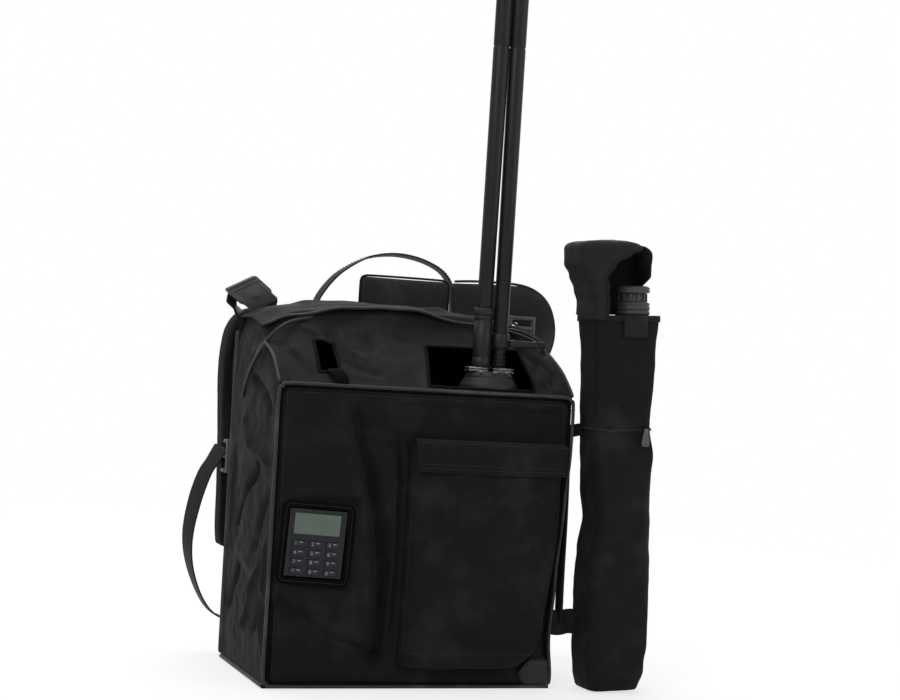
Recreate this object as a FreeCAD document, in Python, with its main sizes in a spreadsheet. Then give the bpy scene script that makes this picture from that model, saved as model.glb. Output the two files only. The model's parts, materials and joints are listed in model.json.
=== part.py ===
"""A backpack-carried radio: a sewn carrier bag with its harness, the radio inside, a control
head in the bag's window, a pair of plug-in whips, and a side quiver with the folded spare whip.

Millimetres. The origin is the centre of the base tray on the floor: X to the right, -Y the
bag's front, +Z up.
"""
import FreeCAD, Part
import math
import os
import re

import Sketcher

Vector = FreeCAD.Vector
X_AXIS = Vector(1, 0, 0)
Y_AXIS = Vector(0, 1, 0)
Z_AXIS = Vector(0, 0, 1)

SIZES = {
    # the sewn shell
    "bag_width": 300, "bag_depth": 180, "cloth": 3, "gap": 0.3,
    "front_height": 296, "slope_run": 75, "slope_rise": 60, "slope_thick": 4,
    "crown_rise": 10, "lid_edge": 4, "lid_rise": 14, "tray_round": 10,
    "piping": 3, "guard_length": 36, "guard_height": 16, "guard_thick": 2,
    # cuts in the sloped top
    "slot_margin": 37, "slot_width": 21, "slot_setback": 12, "slot_length": 40,
    "hatch_margin": 4, "hatch_lead": 2, "hatch_length": 50,
    # front pocket
    "pocket_inset": 6, "pocket_width": 158, "pocket_base": 20, "pocket_height": 226,
    "pocket_depth": 22, "pocket_wall": 2.5, "flap_drop": 30,
    # control head in the window
    "head_margin": 45.5, "head_z": 142, "head_tilt": 3, "head_wide": 57.4, "head_tall": 65.4,
    "head_deep": 24, "frame_border": 5.5, "frame_thick": 3.5, "frame_inset": 1.5,
    "bezel_thick": 2.5, "display_wide": 47, "display_tall": 21, "display_up": 18.5,
    "display_inset": 0.4, "key_wide": 12.6, "key_tall": 5.8, "key_pitch_x": 17, "key_pitch_z": 9,
    "key_top": -0.6, "key_proud": 1.2, "key_travel": 1, "key_long": 5, "key_round": 1,
    # radio modules
    "module_margin": 7, "module_gap": 10.5, "module_space": 14, "module_round": 6,
    "tuner_margin": 29, "battery_deep": 120, "battery_tall": 74,
    "case_wall": 3, "case_tall": 170, "cover_thick": 4, "fin_thick": 3, "fin_deep": 10,
    "fin_count": 11, "board_thick": 1.6, "board_stand": 8, "board_margin": 8,
    "tuner_gap": 1, "tuner_wide": 112, "tuner_deep": 62, "tuner_step": 1,
    # whips
    "mast_inset": 61, "mast_setback": 29, "mast_pitch": 19, "mast_top": 900,
    "boot_radius": 30, "boot_top_radius": 21, "boot_height": 20, "boot_skirt": 5,
    "nut_radius": 13, "nut_height": 4, "sleeve_radius": 9.5, "sleeve_height": 52,
    "whip_radius": 7.5, "whip_wall": 1.5, "collar_radius": 9.8, "collar_height": 7,
    "stub_radius": 6, "stub_height": 22, "socket_radius": 9, "socket_height": 10,
    "clip_length": 40, "clip_wide": 10, "clip_tall": 7, "cap_height": 8, "cap_radius": 8.4,
    # harness
    "pad_width": 280, "pad_base": 20, "pad_thick": 12, "pad_round": 25,
    "yoke_left": -19, "yoke_width": 103, "yoke_tall": 45, "yoke_round": 5,
    "handle_left": -66, "handle_span": 152, "handle_seat": 8, "handle_rise": 74,
    "webbing": 25, "webbing_thick": 2.5, "handle_thick": 3,
    "strap_width": 44, "strap_thick": 18, "left_strap_inset": 2, "right_strap_reach": 42,
    "left_strap_end": 112, "right_strap_end": 118, "left_strap_drop": 10, "right_strap_rise": 31,
    "lock_tall": 36, "lock_thick": 6, "lock_bar": 5, "lock_base": 193,
    "webbing_foot": 38, "webbing_bulge": 28,
    "buckle_margin": 10, "buckle_wide": 30, "buckle_long": 38,
    "buckle_thick": 9, "buckle_round": 2, "buckle_tilt": 41, "lifter_drop": 14, "lifter_tall": 26,
    # quiver
    "quiver_reach": 71, "quiver_lead": 2, "quiver_side": 60, "quiver_wall": 2.5, "quiver_tilt": 3,
    "quiver_base": 2, "quiver_tall": 380, "quiver_round": 10, "hood_tall": 70,
    "zip_height": 268, "zip_tall": 7, "zip_thick": 1.5, "pull_long": 20, "pull_wide": 9,
    "pull_thick": 2, "tab_wide": 26, "tab_tall": 20, "tab_thick": 1.6,
    "loop_wide": 20, "loop_inset": 2, "upper_loop": 256, "upper_loop_tall": 14,
    "lower_loop": 62, "lower_loop_tall": 34,
    "spare_x": 9, "spare_radius": 6, "spare_pitch": 17, "hub_radius": 15, "hub_waist": 11,
    "hub_tall": 30,
}

# where pieces stand, worked out from the sizes and from each other
PLACES = {
    "slot_left": "(slot_margin - bag_width / 2)",
    "slot_front": "(slot_setback - bag_depth / 2)",
    "head_x": "(head_margin - bag_width / 2)",
    "pocket_left": "(bag_width / 2 - pocket_inset - pocket_width)",
    "module_left": "(module_margin + cloth - bag_width / 2)",
    "battery_wide": "(bag_width / 2 - cloth - tuner_margin - tuner_wide - module_space - module_left)",
    "module_front": "(head_deep + module_gap + cloth - frame_inset - bag_depth / 2)",
    "fin_pitch": "((battery_wide - 2 * module_round - fin_thick) / (fin_count - 1))",
    "tuner_left": "(module_left + battery_wide + module_space)",
    "tuner_front": "(cloth + tuner_gap - bag_depth / 2)",
    "tuner_tall": "(front_height + tuner_step - cloth)",
    "hatch_left": "(tuner_left - hatch_margin)",
    "hatch_width": "(tuner_wide + hatch_margin)",
    "hatch_front": "(tuner_front - hatch_lead)",
    "mast_x": "(tuner_left + mast_inset)",
    "mast_y": "(tuner_front + mast_setback)",
    "crown_z": "(front_height + slope_rise + crown_rise)",
    "handle_foot": "(crown_z - handle_seat)",
    "left_strap_x": "(left_strap_inset - pad_width / 2)",
    "right_strap_x": "(pad_width / 2 + right_strap_reach)",
    "left_strap_top": "(crown_z - left_strap_drop)",
    "right_strap_top": "(crown_z + right_strap_rise)",
    "buckle_x": "(buckle_margin - pad_width / 2)",
    "lifter_low": "(crown_z - lifter_drop)",
    "quiver_x": "(bag_width / 2 + quiver_reach)",
    "quiver_y": "(-bag_depth / 2 - quiver_lead)",
}
FRONT = "-bag_depth / 2"
REAR = "bag_depth / 2"
SIDE = "bag_width / 2"
INNER = "(bag_width / 2 - cloth)"
RIDGE_Y = "(slope_run - bag_depth / 2)"
RIDGE_Z = "(front_height + slope_rise)"
CROWN_Z = "crown_z"
POCKET_TOP = "(pocket_base + pocket_height)"
POCKET_RIGHT = "(pocket_left + pocket_width)"
POCKET_FRONT = "(-bag_depth / 2 - pocket_depth)"
BEZEL_BACK = "(bag_depth / 2 - cloth + frame_inset)"
BEZEL_FRONT = "(bag_depth / 2 - cloth + frame_inset + bezel_thick)"
CASE_Z = "(cloth + battery_tall)"
BOOT_Z = "(cloth + tuner_tall)"
SOCKET_Z = "(cloth + tuner_tall + boot_height + nut_height)"
PAD_REAR = "(bag_depth / 2 + pad_thick)"
LEFT_LOCK_X = "(left_strap_x - strap_thick / 2)"
RIGHT_LOCK_X = "(right_strap_x + strap_thick / 2)"

document = FreeCAD.newDocument("radio")
sheet = document.addObject("Spreadsheet::Sheet", "Sizes")
nodes = {}


def fill_sheet():
    """Write every driving size into the sheet, each under its own alias."""
    for row, (name, value) in enumerate(SIZES.items(), start=1):
        sheet.set(f"A{row}", name)
        sheet.set(f"B{row}", str(value))
        sheet.setAlias(f"B{row}", name)
    document.recompute()


def spell_out(expression):
    """Put what each place is worked out from where its name stands."""
    longer = re.sub(r"[a-z][a-z_0-9]*", lambda word: PLACES.get(word[0], word[0]), expression)
    return longer if longer == expression else spell_out(longer)


def size(expression):
    """The present value of an expression of sizes and places."""
    return float(sheet.evalExpression(spell_out(expression)))


def bind(item, name, expression):
    """Tie a property to an expression of sizes and places."""
    tied = re.sub(r"\b([a-z][a-z_0-9]*)\b(?!\()", r"Sizes.\1", spell_out(expression))
    item.setExpression(name, tied)


def keep(item, label):
    """Name a finished sub-part and list it as a node."""
    item.Label = label
    nodes[label] = item
    return item


def place(item, x="0", y="0", z="0"):
    """Tie where an object stands to the sheet's sizes."""
    for axis, expression in zip("xyz", (x, y, z)):
        if expression != "0":
            bind(item, f"Placement.Base.{axis}", expression)


def turn(item, axis, angle):
    """Turn an object by an angle of the sheet about an axis through its own origin."""
    item.Placement = FreeCAD.Placement(item.Placement.Base, FreeCAD.Rotation(axis, 1))
    bind(item, "Placement.Rotation.Angle", angle)


def new_body(label):
    """An empty PartDesign body."""
    return document.addObject("PartDesign::Body", label)


def add_loop(sketch, corners, number):
    """Draw one closed straight-sided loop whose corners are tied to the sheet."""
    first = sketch.GeometryCount
    points = [Vector(size(u), size(v), 0) for u, v in corners]
    count = len(points)
    for index in range(count):
        sketch.addGeometry(Part.LineSegment(points[index], points[(index + 1) % count]))
    for index in range(count):
        following = first + (index + 1) % count
        sketch.addConstraint(Sketcher.Constraint("Coincident", first + index, 2, following, 1))
    for index, corner in enumerate(corners):
        for kind, value, expression in (("DistanceX", points[index].x, corner[0]),
                                        ("DistanceY", points[index].y, corner[1])):
            link = Sketcher.Constraint(kind, -1, 1, first + index, 1, value)
            name = f"{kind[-1].lower()}{number}_{index}"
            sketch.renameConstraint(sketch.addConstraint(link), name)
            bind(sketch, f"Constraints.{name}", expression)


def add_circle(sketch, u, v, radius, number):
    """Draw one circle tied to the sheet."""
    index = sketch.addGeometry(Part.Circle(Vector(size(u), size(v), 0), Z_AXIS, size(radius)))
    for kind, name, value, expression in (("DistanceX", "u", size(u), u),
                                          ("DistanceY", "v", size(v), v)):
        link = Sketcher.Constraint(kind, -1, 1, index, 3, value)
        sketch.renameConstraint(sketch.addConstraint(link), f"{name}{number}")
        bind(sketch, f"Constraints.{name}{number}", expression)
    link = Sketcher.Constraint("Radius", index, size(radius))
    sketch.renameConstraint(sketch.addConstraint(link), f"r{number}")
    bind(sketch, f"Constraints.r{number}", radius)


def add_sketch(body, plane, lift, loops):
    """A sketch on one of the body's own planes: a loop is a list of corners or (u, v, radius)."""
    sketch = body.newObject("Sketcher::SketchObject", body.Name + "_outline")
    support = next(item for item in body.Origin.OriginFeatures if item.Role == plane)
    sketch.AttachmentSupport = [(support, "")]
    sketch.MapMode = "FlatFace"
    bind(sketch, "AttachmentOffset.Base.z", lift)
    for number, loop in enumerate(loops):
        if isinstance(loop, tuple):
            add_circle(sketch, *loop, number)
        else:
            add_loop(sketch, loop, number)
    return sketch


def add_pad(body, plane, lift, thick, loops):
    """Pad loops of a plane: XY pads towards +Z, XZ towards -Y and YZ towards +X."""
    pad = body.newObject("PartDesign::Pad", body.Name + "_pad")
    pad.Profile = add_sketch(body, plane, lift, loops)
    bind(pad, "Length", thick)
    return pad


def add_pocket(body, plane, lift, deep, loops, reversed_cut=False):
    """Cut loops out of a body, against the direction in which a pad of the plane grows."""
    pocket = body.newObject("PartDesign::Pocket", body.Name + "_pocket")
    pocket.Profile = add_sketch(body, plane, lift, loops)
    pocket.Reversed = reversed_cut
    bind(pocket, "Length", deep)
    return pocket


def round_edges(body, radius, chosen):
    """Fillet the edges of the body's present shape that a test picks."""
    document.recompute()
    tip = body.Tip
    names = [f"Edge{number}" for number, edge in enumerate(tip.Shape.Edges, start=1) if chosen(edge)]
    fillet = body.newObject("PartDesign::Fillet", body.Name + "_round")
    fillet.Base = (tip, names)
    bind(fillet, "Radius", radius)
    return fillet


def along(axis):
    """A test for straight edges that run along an axis."""
    def test(edge):
        if edge.Curve.TypeId != "Part::GeomLine":
            return False
        return abs(abs(edge.tangentAt(edge.FirstParameter).dot(axis)) - 1) < 1e-6
    return test


def rectangle(left, low, wide, tall):
    """The corners of an upright rectangle, from its low left corner."""
    right = f"({left}) + ({wide})"
    high = f"({low}) + ({tall})"
    return [(left, low), (right, low), (right, high), (left, high)]


def centred(wide, tall, u="0", v="0"):
    """The corners of a rectangle about a centre."""
    return rectangle(f"({u}) - ({wide}) / 2", f"({v}) - ({tall}) / 2", wide, tall)


def plate(label, plane, lift, thick, loops):
    """A node made by one pad."""
    body = new_body(label)
    add_pad(body, plane, lift, thick, loops)
    return keep(body, label)


def turned(label, profile, x, y):
    """A node made by turning a half profile of (radius, height) corners about an upright axis."""
    body = new_body(label)
    sketch = add_sketch(body, "XZ_Plane", "0 * gap", [profile])
    spin = body.newObject("PartDesign::Revolution", body.Name + "_spin")
    spin.Profile = sketch
    spin.ReferenceAxis = (sketch, ["V_Axis"])
    spin.Angle = 360
    place(body, x, y)
    return keep(body, label)


def block(x, y, z, wide, deep, tall):
    """A Part box tied to the sheet, from its low corner."""
    box = document.addObject("Part::Box", "block")
    bind(box, "Length", wide)
    bind(box, "Width", deep)
    bind(box, "Height", tall)
    place(box, x, y, z)
    return box


def rod(x, y, z, radius, tall):
    """An upright Part cylinder tied to the sheet."""
    cylinder = document.addObject("Part::Cylinder", "rod")
    bind(cylinder, "Radius", radius)
    bind(cylinder, "Height", tall)
    place(cylinder, x, y, z)
    return cylinder


def combine(kind, label, items):
    """Join, intersect or group Part objects as one node."""
    group = document.addObject(f"Part::{kind}", label)
    if kind == "Compound":
        group.Links = items
    else:
        group.Shapes = items
    return keep(group, label)


def band_side(points, offset):
    """One side of a bent band: straight runs and tangent arcs, set off from the route's centre."""
    edges = []
    last = None
    for index, point in enumerate(points):
        before = (point - points[index - 1]) if index else (points[1] - point)
        after = (points[index + 1] - point) if index < len(points) - 1 else before
        reach = 0.45 * min(before.Length, after.Length)
        before.normalize()
        after.normalize()
        left = Vector(-before.z, 0, before.x)
        left_after = Vector(-after.z, 0, after.x)
        half = math.atan2(before.cross(after).Length, before.dot(after)) / 2
        if index in (0, len(points) - 1) or half < 1e-6:
            here = point + left * offset
            start, end = here, here
        else:
            start = point - before * reach + left * offset
            end = point + after * reach + left_after * offset
        if last is not None:
            edges.append(Part.LineSegment(last, start).toShape())
        if (end - start).Length > 1e-6:
            inward = (after - before).normalize()
            radius = reach / math.tan(half)
            centre = point + inward * (radius / math.cos(half))
            bulge = centre - inward * (centre - start).Length
            edges.append(Part.Arc(start, bulge, end).toShape())
        last = end
    return edges, points[0] + left_of(points[0], points[1]) * offset, last


def left_of(start, end):
    """The unit normal to the left of a run in the XZ plane."""
    run = (end - start).normalize()
    return Vector(-run.z, 0, run.x)


def band(label, route, thick, wide, near):
    """A node bent from flat band: a route in XZ, given a thickness and widened along +Y."""
    points = [Vector(size(x), 0, size(z)) for x, z in route]
    upper, upper_start, upper_end = band_side(points, size(thick) / 2)
    lower, lower_start, lower_end = band_side(points, -size(thick) / 2)
    caps = [Part.LineSegment(upper_start, lower_start).toShape(),
            Part.LineSegment(upper_end, lower_end).toShape()]
    wire = Part.Wire(Part.__sortEdges__(upper + lower + caps))
    item = document.addObject("Part::Feature", label)
    item.Shape = Part.Face(wire).extrude(Vector(0, size(wide), 0))
    item.Placement = FreeCAD.Placement(Vector(0, size(near), 0), FreeCAD.Rotation())
    return keep(item, label)


# ---------------------------------------------------------------- the sewn shell

def base_tray():
    body = new_body("base_tray")
    add_pad(body, "XY_Plane", "0 * gap", "cloth", [centred("bag_width", "bag_depth")])
    round_edges(body, "tray_round", along(Z_AXIS))
    keep(body, "base_tray")


def side_panels():
    """Two gussets, each cut to the slope of the top."""
    profile = [(FRONT, "cloth"), (REAR, "cloth"), (REAR, CROWN_Z), (RIDGE_Y, RIDGE_Z),
               (FRONT, "front_height")]
    plate("side_panel_left", "YZ_Plane", "-" + SIDE, "cloth", [profile])
    plate("side_panel_right", "YZ_Plane", INNER, "cloth", [profile])


def back_panel():
    plate("back_panel", "XZ_Plane", "-" + REAR, "cloth",
          [rectangle("-" + INNER, "cloth", "2 * " + INNER, CROWN_Z + " - cloth")])


def front_panel():
    """The front face with the window that the control head looks through."""
    window = centred("head_wide + 2 * cloth", "head_tall + 2 * cloth", "head_x", "head_z")
    face = rectangle("-" + INNER, "cloth", "2 * " + INNER, "front_height - slope_thick - cloth")
    plate("front_panel", "XZ_Plane", "bag_depth / 2 - cloth", "cloth", [face, window])


def slope_panel():
    """The sloped top, with the cable slot and the hatch that the whips rise through."""
    body = new_body("slope_panel")
    profile = [(FRONT, "front_height - slope_thick"), (RIDGE_Y, RIDGE_Z + " - slope_thick"),
               (RIDGE_Y, RIDGE_Z), (FRONT, "front_height")]
    add_pad(body, "YZ_Plane", "-" + INNER, "2 * " + INNER, [profile])
    slot = rectangle("slot_left", "slot_front", "slot_width", "slot_length")
    hatch = rectangle("hatch_left", "hatch_front", "hatch_width", "hatch_length")
    add_pocket(body, "XY_Plane", RIDGE_Z + " + cloth", "slope_rise + 4 * cloth", [slot, hatch])
    keep(body, "slope_panel")


def top_lid():
    """The lid: a pillow with a flat underside, arched both ways."""
    length = f"({REAR} - cloth - gap - {RIDGE_Y})"
    pitch = "atan(crown_rise / (bag_depth - slope_run))"
    slab = block("0", "0", "0", "bag_width", length, "lid_edge + lid_rise")
    slab.Placement.Base = Vector(0, 0, 0)
    place(slab, "-" + SIDE)
    across = "((bag_width / 2) ^ 2 + lid_rise ^ 2) / (2 * lid_rise)"
    lengthwise = f"(({length} / 2) ^ 2 + lid_rise ^ 2) / (2 * lid_rise)"
    arches = []
    for radius, axis, reach, x, y in ((across, X_AXIS, length, "0", length),
                                      (lengthwise, Y_AXIS, "bag_width", "-" + SIDE, length + " / 2")):
        arch = document.addObject("Part::Cylinder", "arch")
        bind(arch, "Radius", radius)
        bind(arch, "Height", reach)
        arch.Placement = FreeCAD.Placement(Vector(), FreeCAD.Rotation(axis, 90))
        place(arch, x, y, f"lid_edge + lid_rise - {radius}")
        arches.append(arch)
    lid = combine("MultiCommon", "top_lid", [slab] + arches)
    turn(lid, X_AXIS, pitch)
    place(lid, "0", RIDGE_Y, RIDGE_Z + " + gap")


def front_piping():
    """The corded seam round the front face."""
    outer = rectangle("-" + SIDE, "cloth", "bag_width", "front_height - cloth")
    inner = rectangle(f"piping - {SIDE}", "cloth + piping", "bag_width - 2 * piping",
                      "front_height - cloth - 2 * piping")
    plate("front_piping", "XZ_Plane", REAR, "piping", [outer, inner])


def corner_guard():
    """The stiff L-shaped guard round the front right foot of the bag."""
    corner_x = f"({SIDE} + guard_thick)"
    corner_y = f"({FRONT} - guard_thick - piping)"
    outline = [(f"{corner_x} - guard_length", f"{FRONT} - piping"),
               (f"{corner_x} - guard_length", corner_y), (corner_x, corner_y),
               (corner_x, f"{corner_y} + guard_length"), (SIDE, f"{corner_y} + guard_length"),
               (SIDE, f"{FRONT} - piping")]
    plate("corner_guard", "XY_Plane", "cloth", "guard_height", [outline])


def front_pocket():
    """A patch pocket: three walls and a floor, closed behind by the bag's own face."""
    body = new_body("front_pocket")
    walls = [("pocket_left", FRONT), ("pocket_left", POCKET_FRONT), (POCKET_RIGHT, POCKET_FRONT),
             (POCKET_RIGHT, FRONT), (f"{POCKET_RIGHT} - pocket_wall", FRONT),
             (f"{POCKET_RIGHT} - pocket_wall", f"{POCKET_FRONT} + pocket_wall"),
             ("pocket_left + pocket_wall", f"{POCKET_FRONT} + pocket_wall"),
             ("pocket_left + pocket_wall", FRONT)]
    add_pad(body, "XY_Plane", "pocket_base", "pocket_height", [walls])
    floor = rectangle("pocket_left", POCKET_FRONT, "pocket_width", "pocket_depth")
    add_pad(body, "XY_Plane", "pocket_base", "pocket_wall", [floor])
    keep(body, "front_pocket")


def pocket_flap():
    """The pocket's cover, hinged on its seam with the bag's face."""
    seam = f"({FRONT} - gap)"
    inside = f"({POCKET_FRONT} - gap)"
    low = f"({POCKET_TOP} + gap)"
    high = f"({low} + pocket_wall)"
    outside = f"({inside} - pocket_wall)"
    hem = f"({POCKET_TOP} - flap_drop)"
    profile = [(seam, low), (seam, high), (outside, high), (outside, hem), (inside, hem), (inside, low)]
    plate("pocket_flap", "YZ_Plane", "pocket_left", "pocket_width", [profile])


# ---------------------------------------------------------------- the control head

def seat_in_window(body):
    """Stand a piece of the control head at the window, with the head's lean."""
    turn(body, Y_AXIS, "head_tilt")
    place(body, "head_x", "0", "head_z")


def key_places():
    """The centres of the keys, row by row from the top left, about the head's own centre."""
    for row in range(4):
        for column in range(3):
            yield f"key_pitch_x * {column - 1}", f"key_top - key_pitch_z * {row}"


def control_head():
    outline = centred("head_wide", "head_tall")
    display = centred("display_wide", "display_tall", "0", "display_up")
    holes = [centred("key_wide + 2 * gap", "key_tall + 2 * gap", u, v) for u, v in key_places()]

    case = new_body("head_case")
    add_pad(case, "XZ_Plane", f"{BEZEL_BACK} - head_deep", "head_deep", [outline])
    well = centred("head_wide - 2 * cloth", "key_pitch_z * 4 + cloth", "0",
                   "key_top - key_pitch_z * 1.5")
    room = "key_long - key_proud - bezel_thick + key_travel + 2 * gap"
    add_pocket(case, "XZ_Plane", BEZEL_BACK, room, [well])
    seat_in_window(keep(case, "head_case"))

    seat_in_window(plate("head_bezel", "XZ_Plane", BEZEL_BACK, "bezel_thick",
                         [outline, display] + holes))
    seat_in_window(plate("lcd_glass", "XZ_Plane", BEZEL_BACK, "bezel_thick - display_inset", [display]))

    border = centred("head_wide + 2 * (gap + frame_border)", "head_tall + 2 * (gap + frame_border)")
    opening = centred("head_wide + 2 * gap", "head_tall + 2 * gap")
    frame = new_body("window_frame")
    add_pad(frame, "XZ_Plane", REAR, "frame_thick", [border, opening])
    seat_in_window(keep(frame, "window_frame"))


def keys():
    for number, (u, v) in enumerate(key_places(), start=1):
        key = new_body(f"key_{number}")
        add_pad(key, "XZ_Plane", f"{BEZEL_FRONT} + key_proud - key_long", "key_long",
                [centred("key_wide", "key_tall", u, v)])
        round_edges(key, "key_round", along(Y_AXIS))
        seat_in_window(keep(key, f"key_{number}"))


# ---------------------------------------------------------------- the radio inside

def battery_pack():
    body = new_body("battery_pack")
    foot = rectangle("module_left", "module_front", "battery_wide", "battery_deep")
    add_pad(body, "XY_Plane", "cloth", "battery_tall", [foot])
    round_edges(body, "module_round", along(Z_AXIS))
    keep(body, "battery_pack")


def chassis_case():
    """The radio's housing: an open-topped shell with a finned rear wall."""
    body = new_body("chassis_case")
    shell = rectangle("module_left", "module_front", "battery_wide", "battery_deep - fin_deep")
    add_pad(body, "XY_Plane", CASE_Z, "case_tall", [shell])
    round_edges(body, "module_round", along(Z_AXIS))
    hollow = rectangle("module_left + case_wall", "module_front + case_wall",
                       "battery_wide - 2 * case_wall", "battery_deep - fin_deep - 2 * case_wall")
    add_pocket(body, "XY_Plane", CASE_Z + " + case_tall", "case_tall - case_wall", [hollow])
    rear = "module_front + battery_deep - fin_deep"
    first = rectangle("module_left + module_round", f"{rear} - 0.1", "fin_thick", "fin_deep + 0.1")
    fin = add_pad(body, "XY_Plane", CASE_Z, "case_tall", [first])
    document.recompute()
    row = body.newObject("PartDesign::LinearPattern", "fins")
    row.Originals = [fin]
    row.Direction = (fin.Profile[0], ["H_Axis"])
    row.Mode = "Spacing"
    bind(row, "Offset", "fin_pitch")
    bind(row, "Occurrences", "fin_count")
    body.Tip = row
    keep(body, "chassis_case")


def chassis_cover():
    body = new_body("chassis_cover")
    foot = rectangle("module_left", "module_front", "battery_wide", "battery_deep - fin_deep")
    add_pad(body, "XY_Plane", CASE_Z + " + case_tall", "cover_thick", [foot])
    round_edges(body, "module_round", along(Z_AXIS))
    keep(body, "chassis_cover")


def main_board():
    """The circuit board, standing on its four spacers."""
    inset = "(case_wall + board_margin)"
    deep = f"battery_deep - fin_deep - 2 * {inset}"
    wide = f"battery_wide - 2 * {inset}"
    floor = f"({CASE_Z} + case_wall)"
    body = new_body("main_board")
    add_pad(body, "XY_Plane", f"{floor} + board_stand", "board_thick",
            [rectangle(f"module_left + {inset}", f"module_front + {inset}", wide, deep)])
    corners = [(f"module_left + {inset} + {u}", f"module_front + {inset} + {v}", "board_thick * 2")
               for u in ("board_margin", f"{wide} - board_margin")
               for v in ("board_margin", f"{deep} - board_margin")]
    add_pad(body, "XY_Plane", floor, "board_stand + board_thick", corners)
    keep(body, "main_board")


def tuner_case():
    """The antenna tuner: the upright module that the whips stand on, hollow from below."""
    body = new_body("tuner_case")
    foot = rectangle("tuner_left", "tuner_front", "tuner_wide", "tuner_deep")
    add_pad(body, "XY_Plane", "cloth", "tuner_tall", [foot])
    round_edges(body, "module_round", along(Z_AXIS))
    hollow = rectangle("tuner_left + case_wall", "tuner_front + case_wall",
                       "tuner_wide - 2 * case_wall", "tuner_deep - 2 * case_wall")
    add_pocket(body, "XY_Plane", "cloth", "tuner_tall - case_wall", [hollow], reversed_cut=True)
    keep(body, "tuner_case")


# ---------------------------------------------------------------- the whips

def antenna_base():
    """The flared rubber boot, its flange nut and the clip that ties the right whip."""
    low = BOOT_Z
    high = f"({BOOT_Z} + boot_height)"
    middle = "mast_x + mast_pitch / 2"
    turned("antenna_boot", [("0", low), ("boot_radius", low), ("boot_radius", f"{low} + boot_skirt"),
                            ("boot_top_radius", high), ("0", high)], middle, "mast_y")
    rings = [rod(x, "mast_y", high, "nut_radius", "nut_height")
             for x in ("mast_x - 0.5 * (nut_radius * 2 - mast_pitch)",
                       "mast_x + mast_pitch + 0.5 * (nut_radius * 2 - mast_pitch)")]
    combine("MultiFuse", "flange_nuts", rings)


def left_whip():
    floor = f"({SOCKET_Z} + cloth)"
    top = f"({SOCKET_Z} + sleeve_height)"
    bore = "whip_radius + gap"
    turned("left_sleeve", [("0", SOCKET_Z), ("sleeve_radius", SOCKET_Z), ("sleeve_radius", top),
                           (bore, top), (bore, floor), ("0", floor)], "mast_x", "mast_y")
    turned("left_collar", [(bore, f"{top} + gap"), ("collar_radius", f"{top} + gap"),
                           ("collar_radius", f"{top} + gap + collar_height"),
                           (bore, f"{top} + gap + collar_height")], "mast_x", "mast_y")
    whip("left", f"({floor} + gap)", "mast_x")


def right_whip():
    """The right whip stands in a cup on a slimmer stub."""
    cup = f"({SOCKET_Z} + stub_height)"
    floor = f"({cup} + cloth)"
    top = f"({floor} + socket_height)"
    x = "mast_x + mast_pitch"
    turned("right_stub", [("0", SOCKET_Z), ("stub_radius", SOCKET_Z), ("stub_radius", cup),
                          ("socket_radius", cup), ("socket_radius", top), ("whip_radius + gap", top),
                          ("whip_radius + gap", floor), ("0", floor)], x, "mast_y")
    whip("right", f"({floor} + gap)", x)
    body = new_body("whip_clip")
    add_pad(body, "XY_Plane", cup, "clip_tall",
            [rectangle(f"{x} + socket_radius", "mast_y - clip_wide / 2", "clip_length", "clip_wide")])
    keep(body, "whip_clip")


def whip(side, foot, x):
    """One tubular whip and its end cap."""
    inner = "whip_radius - whip_wall"
    turned(f"{side}_whip", [(inner, foot), ("whip_radius", foot), ("whip_radius", "mast_top"),
                            (inner, "mast_top")], x, "mast_y")
    turned(f"{side}_whip_cap", [("0", "mast_top"), ("cap_radius", "mast_top"),
                                ("cap_radius", "mast_top + cap_height"),
                                ("0", "mast_top + cap_height")], x, "mast_y")


# ---------------------------------------------------------------- the harness

def back_pad():
    body = new_body("back_pad")
    add_pad(body, "XZ_Plane", f"-{PAD_REAR}", "pad_thick",
            [rectangle("-pad_width / 2", "pad_base", "pad_width", CROWN_Z + " - pad_base")])
    round_edges(body, "pad_round", along(Y_AXIS))
    keep(body, "back_pad")


def yoke_pad():
    """The padded block between the straps, standing on the back pad."""
    body = new_body("yoke_pad")
    add_pad(body, "XZ_Plane", f"-{PAD_REAR}", "pad_thick",
            [rectangle("yoke_left", CROWN_Z, "yoke_width", "yoke_tall")])
    round_edges(body, "yoke_round", along(X_AXIS))
    keep(body, "yoke_pad")


def carry_handle():
    """A loop of webbing sewn to the back pad at both feet."""
    right = "handle_left + handle_span"
    route = [("handle_left", "handle_foot"),
             ("handle_left + handle_span * 0.06", "handle_foot + handle_rise * 0.45"),
             ("handle_left + handle_span * 0.26", "handle_foot + handle_rise * 0.88"),
             ("handle_left + handle_span * 0.55", "handle_foot + handle_rise"),
             ("handle_left + handle_span * 0.83", "handle_foot + handle_rise * 0.84"),
             ("handle_left + handle_span * 0.97", "handle_foot + handle_rise * 0.42"),
             (right, "handle_foot")]
    band("carry_handle", route, "handle_thick", "webbing", f"{PAD_REAR} + gap")


def shoulder_straps():
    """The padded straps: the left one lies low behind the pad, the right one stands out."""
    left = [("left_strap_x + strap_thick * 3", "left_strap_top"),
            ("left_strap_x + strap_thick * 1.3", "left_strap_top - strap_thick * 0.2"),
            ("left_strap_x + strap_thick * 0.25", "left_strap_top - strap_thick * 1.4"),
            ("left_strap_x", "left_strap_top - strap_thick * 3"),
            ("left_strap_x", "left_strap_end")]
    band("shoulder_strap_left", left, "strap_thick", "strap_width", PAD_REAR)
    start = "yoke_left + yoke_width + 6 * gap"
    reach = f"(right_strap_x - ({start}))"
    right = [(start, "right_strap_top"), (f"{start} + {reach} * 0.35", "right_strap_top + strap_thick * 0.2"),
             (f"{start} + {reach} * 0.7", "right_strap_top + strap_thick * 0.1"),
             (f"{start} + {reach} * 0.94", "right_strap_top - strap_thick"),
             ("right_strap_x", "right_strap_top - strap_thick * 3"), ("right_strap_x", "right_strap_end")]
    band("shoulder_strap_right", right, "strap_thick", "strap_width", REAR)


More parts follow.
